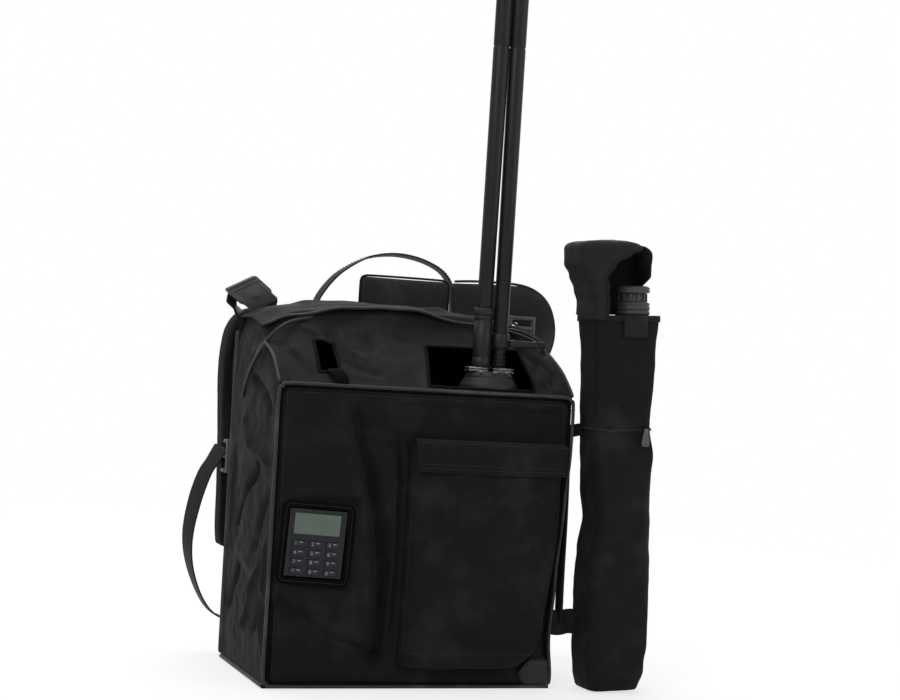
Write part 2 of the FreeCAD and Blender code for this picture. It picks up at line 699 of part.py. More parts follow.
def webbing():
    """The adjusting webbing: out of each strap's lock, bowed outwards, and in behind the pad."""
    for side, sign, lock_x in (("left", -1, LEFT_LOCK_X), ("right", 1, RIGHT_LOCK_X)):
        start = f"({lock_x} + {sign} * (lock_thick + webbing_thick / 2))"
        anchor = f"({sign} * (pad_width / 2 - webbing))"
        drop = "(lock_base - webbing_foot)"
        route = [(start, "lock_base + lock_tall * 0.8"),
                 (f"{start} + {sign} * webbing_bulge * 0.25", "lock_base"),
                 (f"{start} + {sign} * webbing_bulge * 0.75", f"lock_base - {drop} * 0.28"),
                 (f"{start} + {sign} * webbing_bulge", f"lock_base - {drop} * 0.52"),
                 (f"{start} + {sign} * webbing_bulge * 0.6", f"lock_base - {drop} * 0.8"),
                 (f"{start} - {sign} * webbing_bulge * 0.3", "webbing_foot"),
                 (anchor, "webbing_foot - webbing_thick")]
        band(f"webbing_{side}", route, "webbing_thick", "webbing", PAD_REAR)


def ladder_locks():
    """The two strap adjusters: a frame with a cross bar, on the outside of each strap."""
    frames = []
    near = f"{PAD_REAR} - lock_bar"
    for lift in (f"{LEFT_LOCK_X} - lock_thick", RIGHT_LOCK_X):
        body = new_body("lock")
        wide = "webbing + 2 * lock_bar"
        opening = "(lock_tall - 3 * lock_bar) / 2"
        rim = rectangle(near, "lock_base", wide, "lock_tall")
        low = rectangle(f"{near} + lock_bar", "lock_base + lock_bar", "webbing", opening)
        high = rectangle(f"{near} + lock_bar", f"lock_base + 2 * lock_bar + {opening}", "webbing", opening)
        add_pad(body, "YZ_Plane", lift, "lock_thick", [rim, low, high])
        frames.append(body)
    combine("Compound", "ladder_locks", frames)


def top_buckles():
    """The side-release buckle at the top left and the lifter lock at the top right."""
    body = new_body("strap_buckle")
    slot_wide = "buckle_wide - 2 * lock_bar"
    slot = centred("lock_bar", slot_wide, "buckle_long / 2 - 1.5 * lock_bar")
    add_pad(body, "XZ_Plane", f"-({REAR} + buckle_thick)", "buckle_thick",
            [centred("buckle_long", "buckle_wide"), slot])
    round_edges(body, "buckle_round", along(Y_AXIS))
    turn(body, Y_AXIS, "buckle_tilt")
    reach = "(buckle_long * sin(buckle_tilt) + buckle_wide * cos(buckle_tilt)) / 2"
    place(body, "buckle_x", "0", f"{CROWN_Z} + {reach} - buckle_round * 0.35")
    keep(body, "strap_buckle")

    lock = new_body("lifter_lock")
    wide = f"(right_strap_x - {SIDE})"
    rim = rectangle(SIDE, "lifter_low", wide, "lifter_tall")
    opening = rectangle(f"{SIDE} + lock_bar", "lifter_low + lock_bar", f"{wide} - 2 * lock_bar",
                        "lifter_tall - 2 * lock_bar")
    add_pad(lock, "XZ_Plane", "-" + REAR, "lock_thick", [rim, opening])
    keep(lock, "lifter_lock")


# ---------------------------------------------------------------- the quiver

def lean_with_quiver(item):
    """Stand a piece on the quiver's foot, with the quiver's lean."""
    turn(item, Y_AXIS, "-quiver_tilt")
    place(item, "quiver_x", "quiver_y", "quiver_base")
    return item


def quiver_body():
    """A square sleeve with a floor, open at its top."""
    body = new_body("quiver_body")
    outside = centred("quiver_side", "quiver_side")
    inner = "quiver_side - 2 * quiver_wall"
    add_pad(body, "XY_Plane", "0 * gap", "quiver_tall", [outside])
    round_edges(body, "quiver_round", along(Z_AXIS))
    add_pocket(body, "XY_Plane", "quiver_tall", "quiver_tall - quiver_wall", [centred(inner, inner)])
    lean_with_quiver(keep(body, "quiver_body"))


def quiver_hood():
    """The hood over the quiver: flared to the left, with a slanting mouth at the front right."""
    half = "quiver_side / 2"
    flare = "quiver_side * 0.24"
    outline = [("-" + half, "0 * gap"), (f"-{half} - {flare}", "hood_tall * 0.8"),
               (f"-{half} - {flare} * 0.4", "hood_tall"), (f"{half} + {flare} * 0.5", "hood_tall * 0.92"),
               (f"{half} + {flare} * 0.5", "hood_tall * 0.66"), (f"{half} * 0.13", "hood_tall * 0.37"),
               (f"-{half} * 0.27", "0 * gap")]
    hollow = [(f"quiver_wall - {half}", "-quiver_wall"), (f"quiver_wall - {half} - {flare}", "hood_tall * 0.79"),
              (f"quiver_wall - {half} - {flare} * 0.4", "hood_tall - quiver_wall * 1.3"),
              (f"{half} + {flare} * 0.5 - quiver_wall", "hood_tall * 0.92 - quiver_wall"),
              ("quiver_side", "hood_tall * 0.92 - quiver_wall"), ("quiver_side", "-quiver_wall")]
    outer = new_body("hood_outer")
    add_pad(outer, "XZ_Plane", "-" + half, "quiver_side", [outline])
    inner = new_body("hood_inner")
    add_pad(inner, "XZ_Plane", f"quiver_wall - {half}", "quiver_side - 2 * quiver_wall", [hollow])
    hood = document.addObject("Part::Cut", "quiver_hood")
    hood.Base = outer
    hood.Tool = inner
    lean = "quiver_tilt"
    turn(hood, Y_AXIS, f"-{lean}")
    lift = "(quiver_tall + gap)"
    place(hood, f"quiver_x - {lift} * sin({lean})", "quiver_y", f"quiver_base + {lift} * cos({lean})")
    keep(hood, "quiver_hood")


def quiver_fittings():
    """The hook tab, the zip round the collar and its hanging pull."""
    front = "quiver_side / 2"
    tab = new_body("quiver_tab")
    add_pad(tab, "XZ_Plane", front, "tab_thick",
            [rectangle(f"{front} - tab_wide", "quiver_tall - tab_tall - quiver_wall", "tab_wide", "tab_tall")])
    lean_with_quiver(keep(tab, "quiver_tab"))

    closure = new_body("quiver_zip")
    add_pad(closure, "XZ_Plane", front, "zip_thick",
            [centred("quiver_side - 2 * quiver_round", "zip_tall", "0", "zip_height")])
    lean_with_quiver(keep(closure, "quiver_zip"))

    pull = new_body("zip_pull")
    add_pad(pull, "XZ_Plane", f"{front} + zip_thick + gap", "pull_thick",
            [rectangle("quiver_side / 4 - pull_wide / 2", "zip_height - pull_long", "pull_wide", "pull_long")])
    lean_with_quiver(keep(pull, "zip_pull"))


def quiver_loops():
    """The two webbing loops that tie the quiver to the bag's right side."""
    loops = []
    for low, tall in (("upper_loop", "upper_loop_tall"), ("lower_loop", "lower_loop_tall")):
        rise = f"({low} + {tall} - quiver_base)"
        face = f"quiver_x - quiver_side / 2 / cos(quiver_tilt) - {rise} * tan(quiver_tilt)"
        loops.append(block(SIDE, f"{FRONT} + loop_inset", low, f"{face} - {SIDE}", "loop_wide", tall))
    combine("Compound", "quiver_loops", loops)


def spare_whip():
    """The folded spare whip that the quiver holds, and the hub on its top."""
    rods = [rod(f"spare_x + {sign} * spare_pitch / 2", "0", "quiver_wall", "spare_radius",
                "quiver_tall - quiver_wall") for sign in (-1, 1)]
    lean_with_quiver(combine("Compound", "spare_whip", rods))
    low = "quiver_tall"
    waist_low = f"({low} + hub_tall * 0.45)"
    waist_high = f"({low} + hub_tall * 0.75)"
    hub = turned("spare_hub", [("0", low), ("hub_radius", low), ("hub_radius", waist_low),
                               ("hub_waist", waist_low), ("hub_waist", waist_high),
                               ("hub_radius", waist_high), ("hub_radius", f"{low} + hub_tall"),
                               ("0", f"{low} + hub_tall")], "0", "0")
    turn(hub, Y_AXIS, "-quiver_tilt")
    place(hub, "quiver_x + spare_x * cos(quiver_tilt)", "quiver_y",
          "quiver_base + spare_x * sin(quiver_tilt)")


def check_and_write():
    """Refuse a failed object or a bad shape, then write one STEP file for each node."""
    document.recompute()
    for item in document.Objects:
        if {"Invalid", "Error"} & set(item.State):
            raise RuntimeError(f"{item.Label} failed: {item.State}")
    for label, item in nodes.items():
        if item.Shape.isNull() or not item.Shape.isValid():
            raise RuntimeError(f"{label} has no valid shape")
    os.makedirs("parts", exist_ok=True)
    for label, item in nodes.items():
        item.Shape.exportStep(f"parts/{label}.step")
        print(f"{label}: {len(item.Shape.Solids)} solid, {item.Shape.Volume / 1000:.1f} cm3")
    print(len(nodes), "nodes")


fill_sheet()
for build in (base_tray, side_panels, back_panel, front_panel, slope_panel, top_lid, front_piping,
              corner_guard, front_pocket, pocket_flap, control_head, keys, battery_pack, chassis_case,
              chassis_cover, main_board, tuner_case, antenna_base, left_whip, right_whip, back_pad,
              yoke_pad, carry_handle, shoulder_straps, webbing, ladder_locks, top_buckles,
              quiver_body, quiver_hood, quiver_fittings, quiver_loops, spare_whip):
    build()
check_and_write()
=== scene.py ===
"""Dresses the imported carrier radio: sewn bag, control head, whips, harness and quiver.

Every size is in millimetres and becomes metres where a mesh is placed.
"""

import json
import logging
import math
from dataclasses import dataclass
from enum import Enum
from typing import Any, Callable, Iterable, Optional, Sequence

import bmesh
import bpy
from mathutils import Matrix, Vector, noise

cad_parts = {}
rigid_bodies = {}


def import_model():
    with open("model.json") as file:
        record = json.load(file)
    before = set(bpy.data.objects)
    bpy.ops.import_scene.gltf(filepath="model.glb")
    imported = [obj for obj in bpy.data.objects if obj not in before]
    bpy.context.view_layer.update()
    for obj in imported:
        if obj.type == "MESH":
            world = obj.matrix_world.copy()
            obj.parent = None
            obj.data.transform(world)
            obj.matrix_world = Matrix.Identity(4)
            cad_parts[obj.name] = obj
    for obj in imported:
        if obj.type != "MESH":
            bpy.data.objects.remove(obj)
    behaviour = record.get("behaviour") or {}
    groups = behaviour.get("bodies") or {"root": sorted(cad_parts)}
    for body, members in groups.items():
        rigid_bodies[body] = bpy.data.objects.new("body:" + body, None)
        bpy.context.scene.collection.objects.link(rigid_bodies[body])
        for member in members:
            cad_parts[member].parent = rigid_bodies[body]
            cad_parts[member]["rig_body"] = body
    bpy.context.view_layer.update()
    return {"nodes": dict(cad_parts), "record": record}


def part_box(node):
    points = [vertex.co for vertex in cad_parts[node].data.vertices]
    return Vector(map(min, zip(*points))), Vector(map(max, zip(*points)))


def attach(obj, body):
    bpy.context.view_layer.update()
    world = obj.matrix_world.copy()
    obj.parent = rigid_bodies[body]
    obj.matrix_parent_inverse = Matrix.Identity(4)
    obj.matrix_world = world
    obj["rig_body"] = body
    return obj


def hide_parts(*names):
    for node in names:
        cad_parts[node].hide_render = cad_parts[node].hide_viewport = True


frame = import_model()
RECORD = frame["record"]

MM = 0.001
CLOTH_MAP = "cloth"
WALL = 1.6
SETTLE_FRAMES = 20
UP = Vector((0, 0, 1))
FRONTWARD = Vector((0, -1, 0))
log = logging.getLogger("carrier_radio")

Point = tuple[float, float, float]
Place = Callable[[float, float], Vector]


# ------------------------------------------------------------------ shaping sums

def span(node: str) -> tuple[Vector, Vector, Vector]:
    """Lowest corner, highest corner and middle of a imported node, in millimetres."""
    low, high = (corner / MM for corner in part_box(node))
    return low, high, (low + high) / 2


def always(x: float, y: float, z: float) -> Callable[[float], Vector]:
    """One direction for the whole length of a line."""
    return lambda share: Vector((x, y, z))


def squarish(turn: float, square: float) -> tuple[float, float]:
    """A point of a rounded square's outline, one unit from its middle to each side.

    Args:
        turn: direction of the point, in radians.
        square: 2 for a circle, more for sharper corners.

    Returns:
        The point.
    """
    c, s = math.cos(turn), math.sin(turn)
    reach = (abs(c) ** square + abs(s) ** square) ** (-1 / square)
    return c * reach, s * reach


def ease(low: float, high: float, value: float) -> float:
    """Smooth step from 0 at low to 1 at high.

    Args:
        low: value where the step starts.
        high: value where the step ends.
        value: the value to place on the step.

    Returns:
        A number from 0 to 1.
    """
    share = min(1.0, max(0.0, (value - low) / (high - low)))
    return share * share * (3 - 2 * share)


def window(value: float, low: float, high: float, soft: float) -> float:
    """1 between low and high, falling smoothly to 0 over soft outside them.

    Args:
        value: the value to test.
        low: lower edge of the flat part.
        high: upper edge of the flat part.
        soft: width of each falling edge.

    Returns:
        A number from 0 to 1.
    """
    return ease(low - soft, low, value) * (1 - ease(high, high + soft, value))


def crumple(where: Vector, scale: float, seed: float = 0.0) -> float:
    """Soft noise from -1 to 1, with features about scale millimetres wide.

    Args:
        where: the point in millimetres.
        scale: width of a feature in millimetres.
        seed: shifts the pattern.

    Returns:
        The noise value.
    """
    return noise.noise(where / scale + Vector((seed, seed * 1.7, -seed)))


@dataclass(frozen=True)
class Fold:
    """A ridge or valley of cloth that follows a line on a panel.

    Attributes:
        line: points of the fold's line, in the panel's own millimetres.
        width: half width at half height.
        lift: height, negative for a valley.
        fade: length over which the fold dies out at each end.
    """

    line: Sequence[tuple[float, float]]
    width: float
    lift: float
    fade: float = 18.0

    def height(self, u: float, v: float) -> float:
        """The fold's height at a point of the panel.

        Args:
            u: place across the panel.
            v: place up the panel.

        Returns:
            Height in millimetres.
        """
        nearest, along, walked = 1e9, 0.0, 0.0
        for (au, av), (bu, bv) in zip(self.line, self.line[1:]):
            du, dv = bu - au, bv - av
            length = math.hypot(du, dv)
            share = ((u - au) * du + (v - av) * dv) / (length * length)
            share = min(1.0, max(0.0, share))
            gap = math.hypot(u - au - share * du, v - av - share * dv)
            if gap < nearest:
                nearest, along = gap, walked + share * length
            walked += length
        if nearest > 4 * self.width:
            return 0.0
        ends = ease(-0.01, self.fade, along) * ease(-0.01, self.fade, walked - along)
        return self.lift * ends / (1 + (nearest / self.width) ** 4 + (nearest / self.width) ** 2)


def folded(folds: Iterable[Fold], u: float, v: float) -> float:
    """Sum of the heights of several folds at a point."""
    return sum(fold.height(u, v) for fold in folds)


def between(value: float, knots: Sequence[tuple[float, float]]) -> float:
    """Height of a smooth line through a few known places.

    Args:
        value: where to read it.
        knots: places and the heights there, in rising order.

    Returns:
        The height; before and after the knots it stays level.
    """
    for (low, start), (high, end) in zip(knots, knots[1:]):
        if value < high:
            return start + (end - start) * ease(low, high, value)
    return knots[-1][1]


def round_box(wide: float, tall: float, radius: float, runs: int = 6) -> list[tuple[float, float]]:
    """Outline of a rectangle with rounded corners, about its middle.

    Args:
        wide: full width.
        tall: full height.
        radius: radius of its corners.
        runs: pieces that each straight side is cut into.

    Returns:
        Points round the outline.
    """
    points: list[tuple[float, float]] = []
    for corner in range(4):
        middle = math.radians(45 + 90 * corner)
        x = math.copysign(wide / 2 - radius, math.cos(middle))
        y = math.copysign(tall / 2 - radius, math.sin(middle))
        for step in range(6):
            turn = math.radians(90 * corner + 18 * step)
            points.append((x + radius * math.cos(turn), y + radius * math.sin(turn)))
        after = math.radians(135 + 90 * corner)
        turn = math.radians(90 * corner + 90)
        goal = (math.copysign(wide / 2 - radius, math.cos(after)) + radius * math.cos(turn),
                math.copysign(tall / 2 - radius, math.sin(after)) + radius * math.sin(turn))
        last = points[-1]
        points += [(last[0] + (goal[0] - last[0]) * i / runs, last[1] + (goal[1] - last[1]) * i / runs)
                   for i in range(1, runs)]
    return points


def smooth_route(points: Sequence[Point], steps: int = 8, closed: bool = False) -> list[Vector]:
    """A smooth line through points.

    Args:
        points: the points, in millimetres.
        steps: how many pieces each run is cut into.
        closed: whether the line joins up with its start.

    Returns:
        Points along the line, in millimetres.
    """
    knots = [Vector(point) for point in points]
    count = len(knots)
    route: list[Vector] = []
    for i in range(count if closed else count - 1):
        if closed:
            a, b, c, d = (knots[(i + k) % count] for k in (-1, 0, 1, 2))
        else:
            b, c = knots[i], knots[i + 1]
            a = knots[i - 1] if i else b * 2 - c
            d = knots[i + 2] if i + 2 < count else c * 2 - b
        for step in range(steps):
            t = step / steps
            route.append(0.5 * (2 * b + (c - a) * t + (2 * a - 5 * b + 4 * c - d) * t * t
                                + (3 * b - a - 3 * c + d) * t ** 3))
    if not closed:
        route.append(knots[-1])
    return route


# ------------------------------------------------------------------ meshes

def oval(wide: float, thick: float, count: int = 16, square: float = 2.0) -> list[tuple[float, float]]:
    """Outline of a rounded strip.

    Args:
        wide: full width.
        thick: full thickness.
        count: number of points.
        square: 2 for an ellipse, more for squarer corners.

    Returns:
        Points of the outline round its middle.
    """
    points = []
    for i in range(count):
        turn = math.tau * (i + 0.5) / count
        c, s = math.cos(turn), math.sin(turn)
        points.append((math.copysign(abs(c) ** (2 / square), c) * wide / 2,
                       math.copysign(abs(s) ** (2 / square), s) * thick / 2))
    return points


def stations(route: Sequence[Vector], across: Callable[[float], Vector], closed: bool = False
             ) -> list[tuple[Vector, Vector, Vector]]:
    """Centre, width direction and thickness direction at every point of a line.

    Args:
        route: points of the line.
        across: gives the direction of the width at a share of the line.
        closed: whether the line joins up with its start.

    Returns:
        One row for every point.
    """
    count = len(route)
    rows = []
    for i, centre in enumerate(route):
        before = route[i - 1] if i or closed else centre
        after = route[(i + 1) % count] if i + 1 < count or closed else centre
        ahead = (after - before).normalized()
        side = across(i / max(1, count - 1))
        side = (side - ahead * side.dot(ahead)).normalized()
        rows.append((centre, side, ahead.cross(side)))
    return rows


class Form:
    """A mesh in the making, shaped in millimetres."""

    def __init__(self) -> None:
        """Start with an empty bmesh and its cloth map."""
        self.bm = bmesh.new()
        self.cloth = self.bm.loops.layers.uv.new(CLOTH_MAP)

    def sheet(self, spans: tuple[float, float, float, float], cell: float, place: Place,
              holes: Sequence[tuple[float, float, float, float]] = (),
              keep: Optional[Callable[[float, float], bool]] = None) -> "Form":
        """Add a panel of cloth, cut flat and then moved to its place.

        Args:
            spans: least and greatest u and v of the flat panel.
            cell: size of a grid cell.
            place: gives the place of a flat point.
            holes: rectangles to cut out, as least and greatest u and v.
            keep: says which flat points stay, where the outline isn't a rectangle.

        Returns:
            This form.
        """
        u0, u1, v0, v1 = spans
        made = bmesh.ops.create_grid(self.bm, x_segments=max(1, round((u1 - u0) / cell)),
                                     y_segments=max(1, round((v1 - v0) / cell)), size=0.5)
        verts = made["verts"]
        for vert in verts:
            vert.co = Vector((u0 + (vert.co.x + 0.5) * (u1 - u0),
                              v0 + (vert.co.y + 0.5) * (v1 - v0), 0))
        faces = {face for vert in verts for face in vert.link_faces}
        for h0, h1, k0, k1 in holes:
            for point, side in (((h0, 0, 0), (1, 0, 0)), ((h1, 0, 0), (1, 0, 0)),
                                ((0, k0, 0), (0, 1, 0)), ((0, k1, 0), (0, 1, 0))):
                pieces = list(faces | {e for f in faces for e in f.edges}
                              | {v for f in faces for v in f.verts})
                bmesh.ops.bisect_plane(self.bm, geom=pieces, plane_co=point, plane_no=side,
                                       dist=0.05)
                faces = set(self.bm.faces)
            gone = [face for face in faces
                    if h0 < face.calc_center_median().x < h1
                    and k0 < face.calc_center_median().y < k1]
            bmesh.ops.delete(self.bm, geom=gone, context="FACES")
            faces = set(self.bm.faces)
        if keep is not None:
            gone = [face for face in faces if not keep(*face.calc_center_median().xy)]
            bmesh.ops.delete(self.bm, geom=gone, context="FACES")
            faces = set(self.bm.faces)
        for face in faces:
            for loop in face.loops:
                loop[self.cloth].uv = loop.vert.co.xy * MM
        for vert in {v for face in faces for v in face.verts}:
            vert.co = place(vert.co.x, vert.co.y)
        return self

    def sweep(self, route: Sequence[Vector], across: Callable[[float], Vector],
              outline: Sequence[tuple[float, float]], closed: bool = False) -> "Form":
        """Carry an outline along a line.

        Args:
            route: points of the line.
            across: gives the direction of the outline's width at a share of the line.
            outline: the outline's points.
            closed: whether the line joins up with its start.

        Returns:
            This form.
        """
        count, around = len(route), len(outline)
        length = sum((b - a).length for a, b in zip(route, route[1:]))
        girth = sum(math.dist(outline[i - 1], outline[i]) for i in range(around))
        rings = [[centre + side * a + up * b for a, b in outline]
                 for centre, side, up in stations(route, across, closed)]
        part = Form()
        steps = count if closed else count - 1
        made = bmesh.ops.create_grid(part.bm, x_segments=steps, y_segments=around, size=0.5)
        for vert in made["verts"]:
            vert.co = Vector((round((vert.co.x + 0.5) * steps),
                              round((vert.co.y + 0.5) * around), 0))
        for face in part.bm.faces:
            for loop in face.loops:
                loop[part.cloth].uv = (loop.vert.co.x / steps * length * MM,
                                       loop.vert.co.y / around * girth * MM)
        for vert in part.bm.verts:
            vert.co = rings[int(vert.co.x) % count][int(vert.co.y) % around]
        return self.take(part.close(not closed))

    def lathe(self, profile: Sequence[tuple[float, float]], middle: Point = (0, 0, 0),
              steps: int = 48, turn: Optional[Matrix] = None) -> "Form":
        """Spin a profile round the z axis.

        Args:
            profile: radius and height of each point, from the foot up.
            middle: where the foot of the axis stands.
            steps: number of steps round.
            turn: turns the finished shape about its foot.

        Returns:
            This form.
        """
        part = Form()
        verts = [part.bm.verts.new((radius, 0, height)) for radius, height in profile]
        edges = [part.bm.edges.new(pair) for pair in zip(verts, verts[1:])]
        bmesh.ops.spin(part.bm, geom=verts + edges, cent=(0, 0, 0), axis=(0, 0, 1),
                       angle=math.tau, steps=steps, use_merge=True, use_duplicate=False)
        part.close(True)
        matrix = Matrix.Translation(middle) @ (turn or Matrix.Identity(4))
        bmesh.ops.transform(part.bm, matrix=matrix, verts=part.bm.verts[:])
        return self.take(part)

    def brick(self, size: Point, middle: Point, round_by: float = 0.0, steps: int = 2,
              turn: Optional[Matrix] = None) -> "Form":
        """Add a block with rounded edges.

        Args:
            size: width, depth and height.
            middle: the block's centre.
            round_by: radius of its edges.
            steps: faces across each rounded edge.
            turn: turns the block about its centre.

        Returns:
            This form.
        """
        part = Form()
        bmesh.ops.create_cube(part.bm, size=1.0)
        bmesh.ops.scale(part.bm, vec=size, verts=part.bm.verts[:])
        part.round_edges(round_by, steps)
        matrix = Matrix.Translation(middle) @ (turn or Matrix.Identity(4))
        bmesh.ops.transform(part.bm, matrix=matrix, verts=part.bm.verts[:])
        return self.take(part)

    def slab(self, corners: Sequence[tuple[float, float]], deep: float, lift: float,
             turn: Matrix, round_by: float = 0.0, steps: int = 2) -> "Form":
        """Add a flat plate with any outline.

        Args:
            corners: the outline's points, in the plate's own plane.
            deep: its thickness.
            lift: height of its lower face over the plane.
            turn: carries the plate to its place.
            round_by: radius of its edges.
            steps: faces across each rounded edge.

        Returns:
            This form.
        """
        part = Form()
        face = part.bm.faces.new([part.bm.verts.new((x, y, lift)) for x, y in corners])
        grown = bmesh.ops.extrude_face_region(part.bm, geom=[face])
        moved = [item for item in grown["geom"] if isinstance(item, bmesh.types.BMVert)]
        bmesh.ops.translate(part.bm, vec=(0, 0, deep), verts=moved)
        bmesh.ops.recalc_face_normals(part.bm, faces=part.bm.faces[:])
        part.round_edges(round_by, steps)
        bmesh.ops.transform(part.bm, matrix=turn, verts=part.bm.verts[:])
        return self.take(part)

    def stitches(self, route: Sequence[Vector], outward: Vector, pitch: float = 3.6,
                 long: float = 2.4, thick: float = 0.55) -> "Form":
        """Add a row of stitches along a line.

        Args:
            route: points of the line.
            outward: direction that the cloth faces.
            pitch: distance from stitch to stitch.
            long: length of a stitch.
            thick: thickness of the thread.

        Returns:
            This form.
        """
        walked, due = 0.0, pitch / 2
        for a, b in zip(route, route[1:]):
            run = (b - a).length
            while run > 1e-6 and due <= walked + run:
                spot = a.lerp(b, (due - walked) / run)
                ahead = (b - a).normalized()
                side = outward.cross(ahead).normalized()
                up = ahead.cross(side)
                matrix = Matrix((ahead, side, up)).transposed().to_4x4()
                matrix.translation = spot
                made = bmesh.ops.create_cube(self.bm, size=1.0)
                for vert in made["verts"]:
                    point = Vector((vert.co.x * long, vert.co.y * thick, vert.co.z * thick))
                    if vert.co.z > 0:
                        point.x *= 0.55
                    vert.co = matrix @ point
                due += pitch
            walked += run
        return self

    def close(self, fill: bool) -> "Form":
        """Join doubled points, fill open ends if asked, and turn every face outwards."""
        bmesh.ops.remove_doubles(self.bm, verts=self.bm.verts[:], dist=0.001)
        if fill:
            bmesh.ops.holes_fill(self.bm, edges=[e for e in self.bm.edges if e.is_boundary])
        bmesh.ops.recalc_face_normals(self.bm, faces=self.bm.faces[:])
        return self

    def round_edges(self, width: float, steps: int) -> "Form":
        """Round every edge, unless the width is 0."""
        if width:
            bmesh.ops.bevel(self.bm, geom=self.bm.edges[:], offset=width, segments=steps,
                            affect="EDGES", profile=0.5, material=-1)
        return self

    def refine(self, longest: float, cuts: int) -> "Form":
        """Cut up the faces along edges over a length."""
        long_edges = [e for e in self.bm.edges if e.calc_length() > longest]
        bmesh.ops.subdivide_edges(self.bm, edges=long_edges, cuts=cuts, use_grid_fill=True)
        return self

    def take(self, other: "Form") -> "Form":
        """Join another form's mesh to this one, and free it."""
        mesh = bpy.data.meshes.new("part")
        other.bm.to_mesh(mesh)
        other.bm.free()
        self.bm.from_mesh(mesh)
        bpy.data.meshes.remove(mesh)
        return self

    def reshape(self, move: Callable[[Vector], Vector]) -> "Form":
        """Move every point by a function of its place."""
        for vert in self.bm.verts:
            vert.co = move(vert.co.copy())
        return self

    def outwards(self, toward: Vector) -> "Form":
        """Turn an open sheet's faces so that they look toward a direction on the whole."""
        self.bm.normal_update()
        if sum((face.normal.dot(toward) * face.calc_area() for face in self.bm.faces)) < 0:
            bmesh.ops.reverse_faces(self.bm, faces=self.bm.faces[:])
        return self

    def piece(self, name: str, smooth: bool = True) -> bpy.types.Object:
        """Make the object, in metres, with its origin at the row's origin.

        Args:
            name: the piece's name.
            smooth: whether its faces are shaded smooth.

        Returns:
            The new object.
        """
        bmesh.ops.scale(self.bm, vec=(MM, MM, MM), verts=self.bm.verts[:])
        mesh = bpy.data.meshes.new(name)
        self.bm.to_mesh(mesh)
        self.bm.free()
        for polygon in mesh.polygons:
            polygon.use_smooth = smooth
        made = bpy.data.objects.new(name, mesh)
        bpy.context.scene.collection.objects.link(made)
        return made


def thicken(piece: bpy.types.Object, thick: float, side: float = -1.0) -> bpy.types.Object:
    """Give an open sheet a wall.

    Args:
        piece: the sheet.
        thick: thickness in millimetres.
        side: -1 grows the wall behind the faces, 1 before them.

    Returns:
        The same piece.
    """
    wall = piece.modifiers.new("wall", "SOLIDIFY")
    wall.thickness = thick * MM
    wall.offset = side
    return piece


def soften(piece: bpy.types.Object, levels: int = 1) -> bpy.types.Object:
    """Smooth a piece by subdividing it."""
    skin = piece.modifiers.new("skin", "SUBSURF")
    skin.levels = skin.render_levels = levels
    return piece


def sewn(form: Form, name: str, thick: float = WALL) -> bpy.types.Object:
    """Make a panel of a form: an open sheet with a wall, smoothed."""
    return soften(thicken(form.piece(name), thick))


def crisp(piece: bpy.types.Object, round_by: float, angle: float = 30.0) -> bpy.types.Object:
    """Round the sharp edges of a hard piece."""
    edge = piece.modifiers.new("edge", "BEVEL")
    edge.width = round_by * MM
    edge.segments = 2
    edge.limit_method = "ANGLE"
    edge.angle_limit = math.radians(angle)
    edge.harden_normals = False
    return piece


def inflate(piece: bpy.types.Object, cap: float, voxel: float = 5.0, pressure: float = 4.0
            ) -> bpy.types.Object:
    """Swell a padded piece with a short cloth simulation.

    Args:
        piece: a closed mesh, a little thinner than the finished pad.
        cap: how far a point may move, in millimetres.
        voxel: cell size of the new surface, in millimetres.
        pressure: force of the filling.

    Returns:
        The same piece, with its new mesh.
    """
    scene = bpy.context.scene
    net = piece.modifiers.new("net", "REMESH")
    net.mode = "VOXEL"
    net.voxel_size = voxel * MM
    net.use_smooth_shade = True
    graph = bpy.context.evaluated_depsgraph_get()
    rest = bpy.data.meshes.new_from_object(piece.evaluated_get(graph))
    piece.modifiers.clear()
    piece.data = rest
    before = [vert.co.copy() for vert in rest.vertices]
    cloth = piece.modifiers.new("cloth", "CLOTH")
    cloth.settings.quality = 5
    cloth.settings.use_pressure = True
    cloth.settings.uniform_pressure_force = pressure
    cloth.settings.effector_weights.gravity = 0
    cloth.settings.tension_stiffness = cloth.settings.compression_stiffness = 15
    cloth.point_cache.frame_start, cloth.point_cache.frame_end = 1, SETTLE_FRAMES
    for number in range(1, SETTLE_FRAMES + 1):
        scene.frame_set(number)
    graph = bpy.context.evaluated_depsgraph_get()
    swollen = bpy.data.meshes.new_from_object(piece.evaluated_get(graph))
    piece.modifiers.clear()
    for vert, start, end in zip(rest.vertices, before, swollen.vertices):
        step = end.co - start
        if step.length > cap * MM:
            step *= cap * MM / step.length
        vert.co = start + step
    bpy.data.meshes.remove(swollen)
    scene.frame_set(1)
    for polygon in rest.polygons:
        polygon.use_smooth = True
    return soften(piece)


# ------------------------------------------------------------------ finishes

Colour = tuple[float, float, float]


